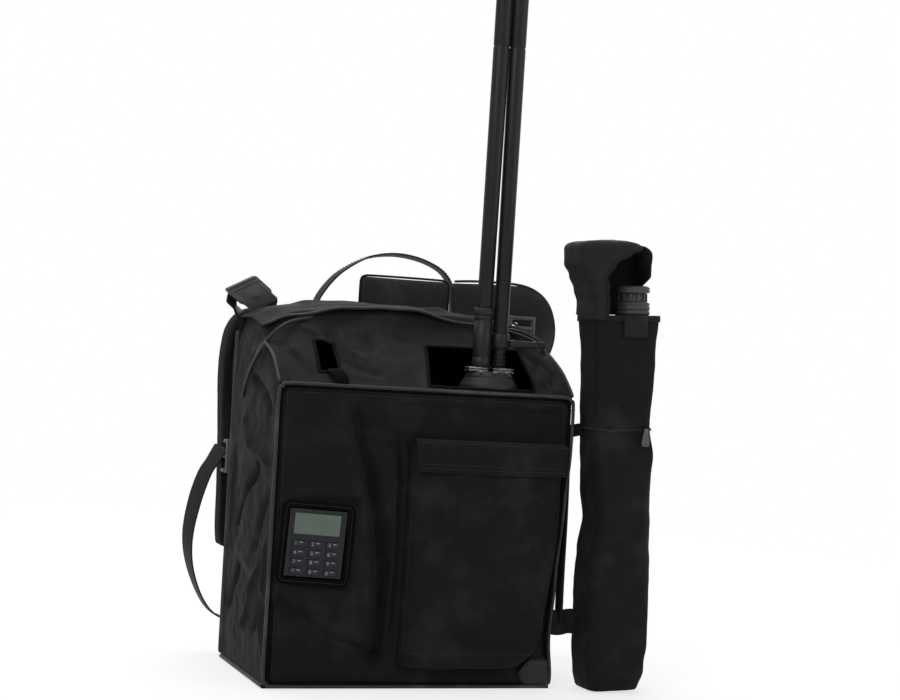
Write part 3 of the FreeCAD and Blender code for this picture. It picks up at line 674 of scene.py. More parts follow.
class Link:
    """A node's output that sums can be written on."""

    def __init__(self, tree: "Tree", socket: bpy.types.NodeSocket) -> None:
        """Wrap a socket of a tree."""
        self.tree = tree
        self.socket = socket

    def sum(self, operation: str, *terms: Any) -> "Link":
        """Add a Math node.

        Args:
            operation: the node's operation.
            terms: its inputs, in order.

        Returns:
            The result.
        """
        return self.tree.node("ShaderNodeMath", {"operation": operation},
                              dict(enumerate(terms)))

    def __add__(self, other: Any) -> "Link":
        """This plus other."""
        return self.sum("ADD", self, other)

    def __radd__(self, other: Any) -> "Link":
        """Other plus this."""
        return self.sum("ADD", other, self)

    def __sub__(self, other: Any) -> "Link":
        """This less other."""
        return self.sum("SUBTRACT", self, other)

    def __rsub__(self, other: Any) -> "Link":
        """Other less this."""
        return self.sum("SUBTRACT", other, self)

    def __mul__(self, other: Any) -> "Link":
        """This times other."""
        return self.sum("MULTIPLY", self, other)

    def __rmul__(self, other: Any) -> "Link":
        """Other times this."""
        return self.sum("MULTIPLY", other, self)

    def sine(self) -> "Link":
        """Sine of this."""
        return self.sum("SINE", self)

    def size(self) -> "Link":
        """This without its sign."""
        return self.sum("ABSOLUTE", self)

    def step(self, low: float, high: float) -> "Link":
        """Smooth step from 0 at low to 1 at high."""
        return self.tree.node("ShaderNodeMapRange", {"interpolation_type": "SMOOTHSTEP"},
                              {"Value": self, "From Min": low, "From Max": high})


class Tree:
    """A material's nodes round one Principled shader."""

    def __init__(self, name: str) -> None:
        """Make the material and its shader."""
        self.material = bpy.data.materials.new(name)
        self.material.use_nodes = True
        self.nodes = self.material.node_tree.nodes
        self.nodes.clear()
        self.shader = self.nodes.new("ShaderNodeBsdfPrincipled")
        self.output = self.nodes.new("ShaderNodeOutputMaterial")
        self.join(self.shader.outputs[0], self.output.inputs[0])

    def join(self, start: bpy.types.NodeSocket, end: bpy.types.NodeSocket) -> None:
        """Link two sockets."""
        self.material.node_tree.links.new(start, end)

    def node(self, kind: str, settings: Optional[dict[str, Any]] = None,
             inputs: Optional[dict[Any, Any]] = None, output: Any = 0) -> Link:
        """Add a node.

        Args:
            kind: the node's type.
            settings: its own settings; "stops" are a ramp's places and colours.
            inputs: values or links of its sockets, by name or number.
            output: which of its outputs to give back.

        Returns:
            The chosen output.
        """
        made = self.nodes.new(kind)
        for name, value in (settings or {}).items():
            if name == "stops":
                for i, (place, colour) in enumerate(value):
                    stop = (made.color_ramp.elements[i] if i < 2
                            else made.color_ramp.elements.new(place))
                    stop.position, stop.color = place, colour
            else:
                setattr(made, name, value)
        for name, value in (inputs or {}).items():
            self.fill(made.inputs[name], value)
        return Link(self, made.outputs[output])

    def fill(self, socket: bpy.types.NodeSocket, value: Any) -> None:
        """Set a socket to a value, or link it."""
        if isinstance(value, Link):
            self.join(value.socket, socket)
        elif isinstance(value, tuple) and len(value) == 3 and socket.type == "RGBA":
            socket.default_value = (*value, 1.0)
        else:
            socket.default_value = value

    def shade(self, **sockets: Any) -> "Tree":
        """Set the shader's sockets, with _ for a space in their names."""
        for name, value in sockets.items():
            self.fill(self.shader.inputs[name.replace("_", " ")], value)
        return self

    def place(self) -> Link:
        """The point's place on the object, in metres."""
        return self.node("ShaderNodeTexCoord", output="Object")

    def cloth(self) -> Link:
        """The point's place on the flat cloth, in metres."""
        return self.node("ShaderNodeUVMap", {"uv_map": CLOTH_MAP})

    def parts(self, vector: Link) -> list[Link]:
        """The three numbers of a vector."""
        made = self.nodes.new("ShaderNodeSeparateXYZ")
        self.join(vector.socket, made.inputs[0])
        return [Link(self, out) for out in made.outputs]

    def noise(self, where: Link, feature: float, detail: float = 3.0, rough: float = 0.55) -> Link:
        """Soft noise round 0.5, with features about so many millimetres wide."""
        return self.node("ShaderNodeTexNoise", {"noise_dimensions": "3D"},
                         {"Vector": where, "Scale": 1000 / feature, "Detail": detail,
                          "Roughness": rough})

    def mix(self, share: Any, first: Any, second: Any) -> Link:
        """Mix of two colours."""
        return self.node("ShaderNodeMix", {"data_type": "RGBA"},
                         {"Factor": share, 6: first, 7: second}, output=2)

    def bump(self, height: Link, strength: float, deep: float) -> Link:
        """A normal raised by a height.

        Args:
            height: height from 0 to 1.
            strength: how strongly it shows.
            deep: millimetres from 0 to 1.

        Returns:
            The normal.
        """
        return self.node("ShaderNodeBump", inputs={"Height": height, "Strength": strength,
                                                   "Distance": deep * MM})


class Finish:
    """A finish that makes its material once."""

    made: dict[Any, bpy.types.Material] = {}

    def material(self) -> bpy.types.Material:
        """The finish's material."""
        if self not in Finish.made:
            tree = Tree(self.label)
            self.paint(tree)
            Finish.made[self] = tree.material
        return Finish.made[self]

    def paint(self, tree: Tree) -> None:
        """Fill a tree; each finish has its own."""
        raise NotImplementedError


class Weave(Enum):
    """How a cloth's threads cross."""

    PLAIN = "plain"
    RIBBED = "ribbed"
    MESH = "mesh"


@dataclass(frozen=True)
class Cloth(Finish):
    """A woven finish that follows the cloth map, or the object where there is none.

    Attributes:
        label: the material's name.
        colour: colour of the yarn.
        pitch: distance from thread to thread, in millimetres.
        weave: how the threads cross.
        relief: height of the weave in millimetres.
        gloss: roughness of the yarn.
        worn: how much paler rubbed places are.
        mapped: whether the piece has a cloth map.
        speck: how specular the yarn is.
    """

    label: str
    colour: Colour
    pitch: float = 1.3
    weave: Weave = Weave.PLAIN
    relief: float = 0.22
    gloss: float = 0.72
    worn: float = 0.5
    mapped: bool = True
    speck: float = 0.05

    def paint(self, tree: Tree) -> None:
        """Weave, slub, patches of wear and a soft crumple."""
        place = tree.place()
        if self.mapped:
            u, v, _ = tree.parts(tree.cloth())
        else:
            x, y, z = tree.parts(place)
            u, v = x + y * 0.8, z + y * 0.35
        turn = math.tau * 500 / self.pitch
        if self.weave is Weave.RIBBED:
            rib = (v * turn * 0.55).sine() * 0.5 + 0.5
            thread = rib * 0.75 + ((u * turn).sine() * (v * turn * 0.55).sine()) * 0.25
        elif self.weave is Weave.MESH:
            thread = ((u + v * 0.5) * turn).sine().size() * ((u - v * 0.5) * turn).sine().size()
        else:
            thread = (u * turn).sine() * (v * turn).sine() * 0.5 + 0.5
        slub = tree.noise(place, 2.6, 2.0)
        patch = tree.noise(place, 46, 4.0, 0.6)
        crush = tree.noise(place, 11, 3.0, 0.6)
        rubbed = patch.step(0.46, 0.72) * self.worn
        dark = tuple(part * 0.72 for part in self.colour)
        pale = tuple(part * 1.9 + 0.004 for part in self.colour)
        colour = tree.mix(thread * 0.55 + slub * 0.45, dark, self.colour)
        colour = tree.mix(rubbed, colour, pale)
        height = thread * 0.6 + slub * 0.4
        fine = tree.bump(height, 0.9, self.relief)
        both = tree.node("ShaderNodeBump", inputs={"Height": crush, "Strength": 0.35,
                                                   "Distance": 0.8 * MM, "Normal": fine})
        tree.shade(Base_Color=colour, Roughness=(crush * 0.2 + (self.gloss - 0.1)),
                   Normal=both, Specular_IOR_Level=self.speck, Sheen_Weight=0.02,
                   Sheen_Roughness=0.45, Sheen_Tint=(0.8, 0.8, 0.82, 1.0))


@dataclass(frozen=True)
class Moulding(Finish):
    """Moulded plastic, rubber or powder coat, with a fine grain and paler edges.

    Attributes:
        label: the material's name.
        colour: its colour.
        gloss: its roughness.
        grain: width of the grain in millimetres.
        relief: height of the grain in millimetres.
        coat: weight of a clear coat.
        scuff: how much paler its scuffs are.
        speck: how specular it is.
    """

    label: str
    colour: Colour
    gloss: float = 0.45
    grain: float = 0.9
    relief: float = 0.05
    coat: float = 0.0
    scuff: float = 0.25
    speck: float = 0.2

    def paint(self, tree: Tree) -> None:
        """Fine grain, smudges in the gloss, and scuffs."""
        place = tree.place()
        grain = tree.noise(place, self.grain, 2.0)
        smudge = tree.noise(place, 24, 4.0, 0.65)
        scratch = tree.noise(place, 5.5, 5.0, 0.7).step(0.6, 0.74) * self.scuff
        pale = tuple(part * 1.6 + 0.01 for part in self.colour)
        dark = tuple(part * 0.8 for part in self.colour)
        colour = tree.mix(smudge.step(0.3, 0.7), dark, self.colour)
        tree.shade(Base_Color=tree.mix(scratch, colour, pale),
                   Roughness=smudge * 0.24 + (self.gloss - 0.12),
                   Normal=tree.bump(grain, 0.6, self.relief), Coat_Weight=self.coat,
                   Specular_IOR_Level=self.speck,
                   Coat_Roughness=0.2)


@dataclass(frozen=True)
class Metal(Finish):
    """Machined or plated metal with turning marks.

    Attributes:
        label: the material's name.
        colour: its colour.
        gloss: its roughness.
    """

    label: str
    colour: Colour
    gloss: float = 0.3

    def paint(self, tree: Tree) -> None:
        """Fine turned lines and dull patches."""
        place = tree.place()
        _, _, z = tree.parts(place)
        lines = (z * (math.tau * 1000 / 0.7) + tree.noise(place, 3.0) * 2.0).sine() * 0.5 + 0.5
        patch = tree.noise(place, 8, 4.0)
        dull = tuple(part * 0.6 for part in self.colour)
        tree.shade(Base_Color=tree.mix(patch.step(0.4, 0.75), self.colour, dull), Metallic=1.0,
                   Roughness=patch * 0.2 + (self.gloss - 0.1),
                   Normal=tree.bump(lines, 0.25, 0.03))


@dataclass(frozen=True)
class Glass(Finish):
    """The display: a grey-green reflective panel under clear glass.

    Attributes:
        label: the material's name.
        colour: its colour.
    """

    label: str
    colour: Colour

    def paint(self, tree: Tree) -> None:
        """A faint grid of cells, paler and darker in soft patches."""
        place = tree.place()
        x, _, z = tree.parts(place)
        cells = (x * (math.tau * 1000 / 1.4)).sine().size() * (z * (math.tau * 1000 / 1.4)).sine().size()
        tint = tree.noise(place, 30, 2.0)
        pale = tuple(part * 1.12 for part in self.colour)
        deep = tuple(part * 0.84 for part in self.colour)
        base = tree.mix(tint.step(0.35, 0.65), deep, pale)
        tree.shade(Base_Color=tree.mix(cells.step(0.75, 1.0) * 0.18, base, deep),
                   Roughness=tint * 0.1 + 0.2, Coat_Weight=0.6, Coat_Roughness=0.06)


@dataclass(frozen=True)
class Board(Finish):
    """A green circuit board with copper tracks.

    Attributes:
        label: the material's name.
        colour: colour of the lacquer.
    """

    label: str
    colour: Colour = (0.01, 0.07, 0.03)

    def paint(self, tree: Tree) -> None:
        """Tracks in steps across the board."""
        place = tree.place()
        cell = tree.node("ShaderNodeTexVoronoi", {"distance": "MANHATTAN", "feature": "F1"},
                         {"Vector": place, "Scale": 160.0})
        track = cell.step(0.28, 0.34)
        tree.shade(Base_Color=tree.mix(track, (0.35, 0.2, 0.06), self.colour),
                   Roughness=track * 0.1 + 0.35, Normal=tree.bump(track, 0.4, 0.1),
                   Coat_Weight=0.3, Coat_Roughness=0.15)


NYLON = Cloth("bag_nylon", (0.0082, 0.0082, 0.0086))
# Lit copy of the bag nylon for the gussets: paler as painted light for the sides that the key light falls
# on.
NYLON_SIDE_LIT = Cloth("gusset_nylon_lit_copy", (0.0095, 0.0095, 0.0098), worn=0.7)
# Lit copy of the bag nylon for the sloped top: paler as painted light falling on the upward-facing panel.
NYLON_TOP_LIT = Cloth("slope_nylon_lit_copy", (0.0125, 0.0125, 0.0129), worn=0.6)
QUIVER_CLOTH = Cloth("quiver_nylon", (0.0095, 0.0095, 0.0098), worn=0.5)
# Lit copy of the quiver nylon for the hood: paler as painted light on its upward-facing cloth.
HOOD_CLOTH_LIT = Cloth("hood_nylon_lit_copy", (0.018, 0.018, 0.0184), worn=0.5)
TAPE = Cloth("binding_tape", (0.011, 0.011, 0.0115), 1.5, Weave.RIBBED, 0.18, 0.6, 0.6)
# Lit copy of the bag nylon for the lid: its paleness is a painted highlight on the lid's upward,
# light-facing cloth.
LID_CLOTH_HIGHLIGHT = Cloth("lid_nylon_painted_highlight", (0.0165, 0.0165, 0.0169), worn=0.8)
# Black binding tape, darker than the bag nylon: the extra darkness is painted shade for the recessed window
# and the openings in the top.
BLACK_TAPE_AND_SHADE = Cloth("window_tape_and_painted_shade", (0.002, 0.002, 0.0021), 1.5, Weave.RIBBED, 0.18, 0.7, 0.2, speck=0.03)
PIPE = Cloth("piping_tape", (0.026, 0.026, 0.027), 1.2, Weave.RIBBED, 0.15, 0.5, 0.9, speck=0.15)
WEBBING = Cloth("webbing_weave", (0.011, 0.011, 0.0115), 1.9, Weave.RIBBED, 0.3, 0.58, 0.5, speck=0.1)
# Shaded copy of the pad cloth for the left shoulder strap: near-black as painted shade on the strap's
# shadowed side.
STRAP_CLOTH_SHADED = Cloth("strap_cloth_painted_shade", (0.0045, 0.0045, 0.0047), 1.5, Weave.PLAIN, 0.25, 0.75, 0.3,
                    mapped=False)
PADDING = Cloth("pad_cloth", (0.026, 0.026, 0.0265), 1.5, Weave.PLAIN, 0.25, 0.75, 0.6,
                mapped=False)
THREAD = Moulding("stitching", (0.02, 0.02, 0.0205), 0.6, 0.4, 0.05)
BUCKLE = Moulding("buckle_plastic", (0.058, 0.058, 0.059), 0.4, 0.7, 0.04, scuff=0.5, speck=0.3)
HEAD = Moulding("head_plastic", (0.012, 0.0122, 0.015), 0.45, 0.5, 0.03)
KEY = Moulding("key_rubber", (0.016, 0.0168, 0.022), 0.5, 0.4, 0.03)
LEGEND = Moulding("legend_ink", (0.24, 0.24, 0.26), 0.6, 0.3, 0.01, scuff=0.0)
DISPLAY = Glass("display_glass", (0.034, 0.06, 0.041))
BLACK_METAL = Moulding("black_coat", (0.009, 0.009, 0.0095), 0.42, 0.6, 0.04, scuff=0.5)
BRIGHT_METAL = Metal("plated_metal", (0.16, 0.16, 0.16), 0.38)
DULL_METAL = Metal("worn_metal", (0.09, 0.09, 0.092), 0.4)
SHELL = Moulding("battery_shell", (0.03, 0.032, 0.028), 0.5)
BOARD = Board("circuit_board")
RUBBER = Moulding("boot_rubber", (0.014, 0.014, 0.0142), 0.5, 0.8, 0.06)
WHIP = Moulding("whip_coating", (0.0088, 0.0088, 0.0092), 0.36, 1.2, 0.03, speck=0.17)
HUB = Moulding("hub_plastic", (0.05, 0.05, 0.052), 0.45)

SLOTS: dict[str, Finish] = {
    "nylon": NYLON, "trim": TAPE, "padding": PADDING, "webbing": WEBBING,
    "buckle_plastic": BUCKLE, "head_plastic": HEAD, "key_plastic": KEY, "display": DISPLAY,
    "black_metal": BLACK_METAL, "bright_metal": BRIGHT_METAL, "battery_shell": SHELL,
    "board": BOARD, "boot_rubber": RUBBER, "whip_coating": WHIP, "hub_plastic": HUB,
}


class Body(Enum):
    """The moving bodies that pieces ride on."""

    CARRIER = "carrier"
    LID = "top_lid"
    FLAP = "pocket_flap"
    HANDLE = "carry_handle"
    HOOD = "quiver_hood"
    PULL = "zip_pull"
    LEFT_WHIP = "left_whip"
    RIGHT_WHIP = "right_whip"
    COLLAR = "left_collar"


def dress(piece: bpy.types.Object, finish: Finish, body: Body | str = Body.CARRIER,
          stands_for: Sequence[str] = ()) -> bpy.types.Object:
    """Give a piece its finish and its place in the model.

    Args:
        piece: the piece.
        finish: what it is made of.
        body: the body that it moves with.
        stands_for: CAD nodes that it replaces.

    Returns:
        The same piece.
    """
    piece.data.materials.clear()
    piece.data.materials.append(finish.material())
    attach(piece, body.value if isinstance(body, Body) else body)
    if stands_for:
        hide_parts(*stands_for)
    log.info("%s on %s", piece.name, piece["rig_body"])
    return piece


# ------------------------------------------------------------------ the studio

@dataclass
class Studio:
    """Floor, backdrop, lights and camera.

    Attributes:
        target: the point that the camera turns about, in metres.
        distance: from the camera to that point, in metres.
        azimuth: turn of the view about the upright axis, in degrees.
        elevation: how far the camera looks down, in degrees.
        roll: how far the picture is turned clockwise, in degrees.
        lens: focal length for a 36 mm sensor.
        shift: shift of the picture, as shares of its width.
    """

    target: Point = (0.04255, 0.0, 0.23321)
    distance: float = 1.9818
    azimuth: float = -19.58
    elevation: float = 3.0
    roll: float = 3.53
    lens: float = 76.76
    shift: tuple[float, float] = (0.0181, 0.1101)

    def build(self) -> None:
        """Set up everything round the object."""
        self.add_camera()
        self.add_floor()
        self.add_lights()

    def add_camera(self) -> None:
        """Place the camera and make it the scene's own."""
        turn, rise, roll = (math.radians(a) for a in (self.azimuth, self.elevation, self.roll))
        back = Vector((math.sin(turn) * math.cos(rise), -math.cos(turn) * math.cos(rise),
                       math.sin(rise)))
        right = Vector((math.cos(turn), math.sin(turn), 0))
        up = back.cross(right)
        across = right * math.cos(roll) + up * math.sin(roll)
        above = up * math.cos(roll) - right * math.sin(roll)
        data = bpy.data.cameras.new("camera")
        data.lens, data.sensor_width = self.lens, 36.0
        data.shift_x, data.shift_y = self.shift
        data.clip_end = 50
        camera = bpy.data.objects.new("camera", data)
        matrix = Matrix((across, above, back)).transposed().to_4x4()
        matrix.translation = Vector(self.target) + back * self.distance
        camera.matrix_world = matrix
        bpy.context.scene.collection.objects.link(camera)
        bpy.context.scene.camera = camera

    def add_floor(self) -> None:
        """A pale floor, and a white world for the backdrop."""
        form = Form()
        bmesh.ops.create_grid(form.bm, x_segments=1, y_segments=1, size=9000)
        floor = form.piece("studio_floor", smooth=False)
        tree = Tree("floor_paper")
        place = tree.place()
        grain = tree.noise(place, 3.0)
        tree.shade(Base_Color=(0.84, 0.84, 0.84), Roughness=0.9, Specular_IOR_Level=0.1,
                   Normal=tree.bump(grain, 0.1, 0.2))
        glow = tree.nodes.new("ShaderNodeEmission")
        glow.inputs["Strength"].default_value = 1.0
        path = tree.nodes.new("ShaderNodeLightPath")
        seen = Link(tree, path.outputs["Is Camera Ray"]) + Link(tree, path.outputs["Is Glossy Ray"])
        mixed = tree.nodes.new("ShaderNodeMixShader")
        x, y, _ = tree.parts(place)
        far = (x * x + y * y).step(0.2, 3.5)
        tree.fill(mixed.inputs["Fac"], seen.sum("MINIMUM", seen, 1.0) * (far * 0.3 + 0.7))
        tree.join(tree.shader.outputs[0], mixed.inputs[1])
        tree.join(glow.outputs[0], mixed.inputs[2])
        tree.join(mixed.outputs[0], tree.output.inputs[0])
        floor.data.materials.append(tree.material)
        world = bpy.context.scene.world or bpy.data.worlds.new("world")
        bpy.context.scene.world = world
        world.use_nodes = True
        nodes, links = world.node_tree.nodes, world.node_tree.links
        nodes.clear()
        output = nodes.new("ShaderNodeOutputWorld")
        light = nodes.new("ShaderNodeBackground")
        light.inputs["Color"].default_value = (1, 1, 1, 1)
        light.inputs["Strength"].default_value = 0.55
        shown = nodes.new("ShaderNodeBackground")
        shown.inputs["Color"].default_value = (1, 1, 1, 1)
        shown.inputs["Strength"].default_value = 1.0
        path = nodes.new("ShaderNodeLightPath")
        either = path.outputs["Is Camera Ray"]
        for ray in ("Is Transmission Ray", "Is Glossy Ray"):
            larger = nodes.new("ShaderNodeMath")
            larger.operation = "MAXIMUM"
            links.new(either, larger.inputs[0])
            links.new(path.outputs[ray], larger.inputs[1])
            either = larger.outputs[0]
        mixed = nodes.new("ShaderNodeMixShader")
        links.new(either, mixed.inputs["Fac"])
        links.new(light.outputs[0], mixed.inputs[1])
        links.new(shown.outputs[0], mixed.inputs[2])
        links.new(mixed.outputs[0], output.inputs[0])

    def add_lights(self) -> None:
        """Soft boxes: a key from the front left, a fill, and a top light."""
        for name, place, aim, size, power in (
                ("key_light", (-2.2, -2.4, 2.2), (0, 0, 0.25), 1.6, 46.0),
                ("fill_light", (2.4, -2.2, 1.2), (0.1, 0, 0.25), 1.8, 16.0),
                ("top_light", (-0.2, 0.5, 2.6), (0, 0, 0.3), 1.5, 40.0),
                ("back_light", (1.2, 2.6, 1.6), (0, 0, 0.3), 1.6, 24.0)):
            data = bpy.data.lights.new(name, "AREA")
            data.shape, data.size, data.energy = "SQUARE", size, power
            lamp = bpy.data.objects.new(name, data)
            way = Vector(aim) - Vector(place)
            lamp.matrix_world = (Matrix.Translation(place)
                                 @ way.to_track_quat("-Z", "Y").to_matrix().to_4x4())
            bpy.context.scene.collection.objects.link(lamp)


# ------------------------------------------------------------------ the sewn bag

@dataclass
class CarrierBag:
    """The sewn shell: front, sloped top, gussets, lid, back, base and its trim.

    Attributes:
        half: half the bag's width.
        front: y of the front seam.
        rear: y of the back panel.
        front_top: height of the front face.
        ridge: y and z of the top edge of the slope.
        crown: height of the lid's rear edge.
        right_push: how far the load pushes the right side out, by height.
        lid_folds: folds of the lid; the others are those of the other panels.
    """

    half: float = 150.0
    front: float = -90.0
    rear: float = 90.0
    front_top: float = 296.0
    ridge: tuple[float, float] = (-15.0, 356.0)
    crown: float = 366.0
    right_push: tuple[tuple[float, float], ...] = (
        (10, 0), (50, -4), (110, -1), (190, 4), (240, 7), (300, 7), (345, 3))

    lid_folds: tuple[Fold, ...] = (
        Fold(((-96, 6), (-50, 4), (10, 16), (66, 40)), 6.0, 3.5, 20),
        Fold(((-84, 26), (-30, 26), (30, 42), (80, 62)), 7.0, -3.5, 20),
        Fold(((-110, 48), (-60, 54), (0, 66)), 8.0, 3.0, 20),
        Fold(((60, 12), (90, 30), (120, 60)), 7.0, -3.0, 16),
    )
    front_folds: tuple[Fold, ...] = (
        Fold(((-76, 286), (-66, 250), (-52, 205), (-40, 150), (-35, 110), (-33, 48), (-39, 12)),
             6.5, -13.0, 26),
        Fold(((-92, 288), (-82, 240), (-66, 190), (-55, 140), (-51, 90), (-50, 40)), 9, 7.5, 40),
        Fold(((-24, 262), (-22, 200), (-20, 120), (-21, 60), (-24, 26)), 4.5, -6.0, 24),
        Fold(((-30, 236), (-27, 180), (-27, 120), (-28, 50)), 4.0, 4.5, 24),
        Fold(((-148, 96), (-130, 78), (-104, 62), (-76, 46), (-40, 34), (-16, 30)), 6.0, -6.0, 16),
        Fold(((-140, 62), (-112, 48), (-84, 34), (-50, 22)), 9.0, 4.5, 22),
        Fold(((-120, 90), (-96, 78), (-72, 72), (-52, 74)), 6.0, 4.0, 14),
        Fold(((-140, 226), (-118, 208), (-100, 196)), 6.0, 2.5, 12),
        Fold(((-74, 262), (-30, 250), (20, 252), (70, 256), (120, 252)), 7.0, -2.5, 20),
        Fold(((60, 262), (96, 270), (136, 286)), 6.0, 3.0, 14),
        Fold(((-60, 246), (-40, 236), (-24, 242)), 6.0, -4.0, 8),
        Fold(((-143, 88), (-144, 50), (-144, 8)), 3.6, -5.0, 8),
    )
    slope_folds: tuple[Fold, ...] = (
        Fold(((-84, 88), (-86, 62), (-80, 40), (-62, 24), (-36, 16)), 5.5, -4.0, 14),
        Fold(((-72, 86), (-74, 66), (-68, 48), (-50, 36)), 5.0, 3.5, 12),
        Fold(((-50, 90), (-48, 68), (-45, 46)), 5.5, -4.5, 12),
        Fold(((-34, 84), (-30, 62), (-30, 40)), 6.0, 2.8, 12),
        Fold(((-20, 88), (-8, 72), (2, 64)), 5.0, -3.0, 10),
        Fold(((-140, 70), (-128, 40), (-122, 14)), 5.0, -3.0, 12),
        Fold(((-132, 60), (-118, 34), (-116, 12)), 4.5, 2.5, 12),
        Fold(((-118, 86), (-104, 78), (-96, 72)), 4.0, 3.0, 8),
        Fold(((112, 84), (124, 56), (140, 30)), 5.0, -5.5, 12),
        Fold(((116, 8), (121, 26), (130, 46)), 7.0, 8.0, 10),
        Fold(((130, 10), (137, 26), (142, 40)), 4.0, -4.0, 8),
        Fold(((-90, 92), (-30, 90), (40, 92), (100, 90)), 5.0, -3.0, 30),
    )
    side_folds: tuple[Fold, ...] = (
        Fold(((-36, 222), (-30, 206), (4, 184), (34, 158), (46, 140)), 4.2, -10.0, 16),
        Fold(((20, 112), (26, 98), (50, 76), (74, 54)), 4.5, -10.0, 14),
        Fold(((16, 300), (-14, 290), (-46, 276), (-66, 262)), 5.0, -7.0, 12),
        Fold(((30, 262), (4, 240), (-20, 226), (-50, 222), (-74, 214)), 6.0, 6.0, 16),
        Fold(((60, 150), (34, 130), (6, 120), (-30, 112)), 7.0, 4.0, 18),
        Fold(((-76, 200), (-60, 168), (-40, 140), (-24, 118)), 5.5, -5.0, 18),
        Fold(((-60, 120), (-36, 92), (-20, 64), (4, 40)), 6.0, 5.0, 18),
        Fold(((-84, 96), (-60, 70), (-40, 44)), 5.0, -5.0, 14),
        Fold(((70, 240), (66, 180), (70, 110)), 7.0, 4.0, 24),
        Fold(((-10, 330), (10, 316), (40, 300)), 6.0, 4.0, 14),
        Fold(((-70, 150), (-74, 100), (-72, 40)), 5.0, 4.0, 20),
    )

    def drape(self, point: Vector) -> Vector:
        """The bag's own slump: the loaded right side pushes out.

        Args:
            point: a point of the bag as it was cut.

        Returns:
            Where the point hangs.
        """
        if point.x > 0:
            share = (point.x / self.half) ** 3
            point.x += share * between(point.z, self.right_push)
        return point

    def front_point(self, u: float, v: float) -> Vector:
        """Where a point of the front panel hangs; u is x and v is z."""
        free = window(u, -140, 140, 9) * window(v, 14, 282, 12)
        pocket = window(u, -10, 150, 8) * window(v, 16, 246, 10)
        head = window(u, -141, -68, 7) * window(v, 100, 184, 7)
        lift = 2.5 + 4.0 * math.sin(math.pi * ease(-150, 150, u)) * math.sin(math.pi * v / 296)
        lift += folded(self.front_folds, u, v)
        where = Vector((u, 0, v))
        lift += 2.2 * crumple(where, 42, 3.1) + 0.9 * crumple(where, 15, 7.7)
        lift = lift * (0.25 + 0.75 * free) * (1 - head) * (1 - 0.95 * pocket) - 1.6 * (1 - free)
        return self.drape(Vector((u, self.front + 1.0 - lift, v)))

    def slope_point(self, u: float, v: float) -> Vector:
        """Where a point of the sloped top hangs; u is x and v runs up the slope."""
        run, rise = 0.781, 0.625
        up = min(1.0, max(0.0, v / 66)) * (1 - ease(68, 88, v))
        below = 1 - ease(68, 88, v)
        u += 11.0 * up * window(u, 0, 4, 16) + (5 + 4 * up) * below * window(u, -116, -90, 9)
        free = window(u, -138, 138, 10) * window(v, 10, 84, 10)
        lift = folded(self.slope_folds, u, v) + 1.6 * crumple(Vector((u, v, 40)), 30, 5.5)
        lift += 0.8 * crumple(Vector((u, v, 90)), 12, 2.5)
        lift = lift * free + 2.0 * math.sin(math.pi * min(1.0, v / 96))
        y = self.front + v * run - lift * rise
        z = self.front_top + v * rise + lift * run
        over = ease(74, 104, v)
        z += 11 * over * (1 - (u / self.half) ** 2) + 1.0 * over
        corner = max(0.0, abs(u) - 104) / 46
        drop = ease(30, 96, v) * corner ** 2.4
        z -= (15 if u < 0 else 9) * drop
        y += (8 if u < 0 else 4) * drop
        return self.drape(Vector((u, y, z)))

    def lid_point(self, u: float, v: float) -> Vector:
        """Where a point of the lid hangs; u is x and v is y."""
        back = ease(-15, 45, v)
        dome = 14.0 * (1 - min(1.0, abs(u) / self.half) ** 2.2)
        z = self.ridge[1] + 1.5 + (self.crown - self.ridge[1] - 2.0) * back
        z += dome * (0.62 + 0.38 * math.sin(math.pi * ease(-15, 130, v)))
        lip = math.exp(-((v + 6) / 16) ** 2)
        z += lip * 11.0 * window(u, -64, 4, 50)
        z -= 7.0 * ease(118, 150, abs(u)) ** 1.5
        z += 1.4 * crumple(Vector((u, v, 12)), 34, 8.8) * window(u, -136, 136, 14)
        z += folded(self.lid_folds, u, v)
        front = v - 3.0 * (1 - ease(-15, 5, v)) * window(u, -80, 30, 40)
        room = self.crown + 1.3 + 0.46 * (86.2 - v)
        return Vector((u, front, z - max(0.0, z - room)))

    def side_top(self, y: float) -> float:
        """Height of the gusset's upper edge at a place along the side."""
        if y < self.ridge[0]:
            return self.front_top + (y - self.front) * 0.62 + 2.0
        return self.ridge[1] - 8.0 + 14.0 * ease(-15, 50, y)

    def side_point(self, side: float, u: float, v: float) -> Vector:
        """Where a point of a gusset hangs; u is y and v a height before the top is cut."""
        share = (v - 2) / 360
        z = 2 + share * (self.side_top(u) - 2)
        free = window(u, -80, 80, 9) * window(share, 0.05, 0.93, 0.05)
        lift = folded(self.side_folds, u, z) if side < 0 else 0.6 * folded(self.side_folds, -u, z)
        lift += 2.4 * crumple(Vector((side * 40, u, z)), 36, 6.1)
        lift += 1.0 * crumple(Vector((side * 80, u, z)), 13, 1.3)
        puff = 3.5 * math.sin(math.pi * ease(-90, 90, u)) * math.sin(math.pi * min(1, share))
        shoulder = (9.0 if side < 0 else 3.0) * ease(0.86, 1.0, share) ** 2
        x = side * (self.half - 1.0 + lift * free + puff - shoulder)
        return self.drape(Vector((x, u, z)))

    def build(self) -> None:
        """Make every panel and its trim."""
        self.front_panel()
        self.slope()
        self.gussets()
        self.lid()
        self.back_and_base()
        self.trim()
        self.corner_guard()

    def front_panel(self) -> None:
        """The front panel, open at the window behind the control head."""
        low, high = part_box("head_case")
        hole = (low.x / MM - 1.0, high.x / MM + 1.0, low.z / MM - 1.0, high.z / MM + 1.0)

        def flattened(u: float, v: float) -> Vector:
            """The panel lies flat where the pocket's flap is sewn to it."""
            point = self.front_point(u, v)
            flat = window(u, -24, 156, 8) * window(v, 242, 278, 8)
            point.y += max(0.0, self.front + 0.9 - point.y) * flat
            return point

        form = Form().sheet((-149, 149, 3, 295), 2.2, flattened, holes=[hole])
        form.outwards(FRONTWARD)
        cloth = sewn(form, "front_panel_cloth")
        dress(cloth, NYLON, stands_for=["front_panel"])

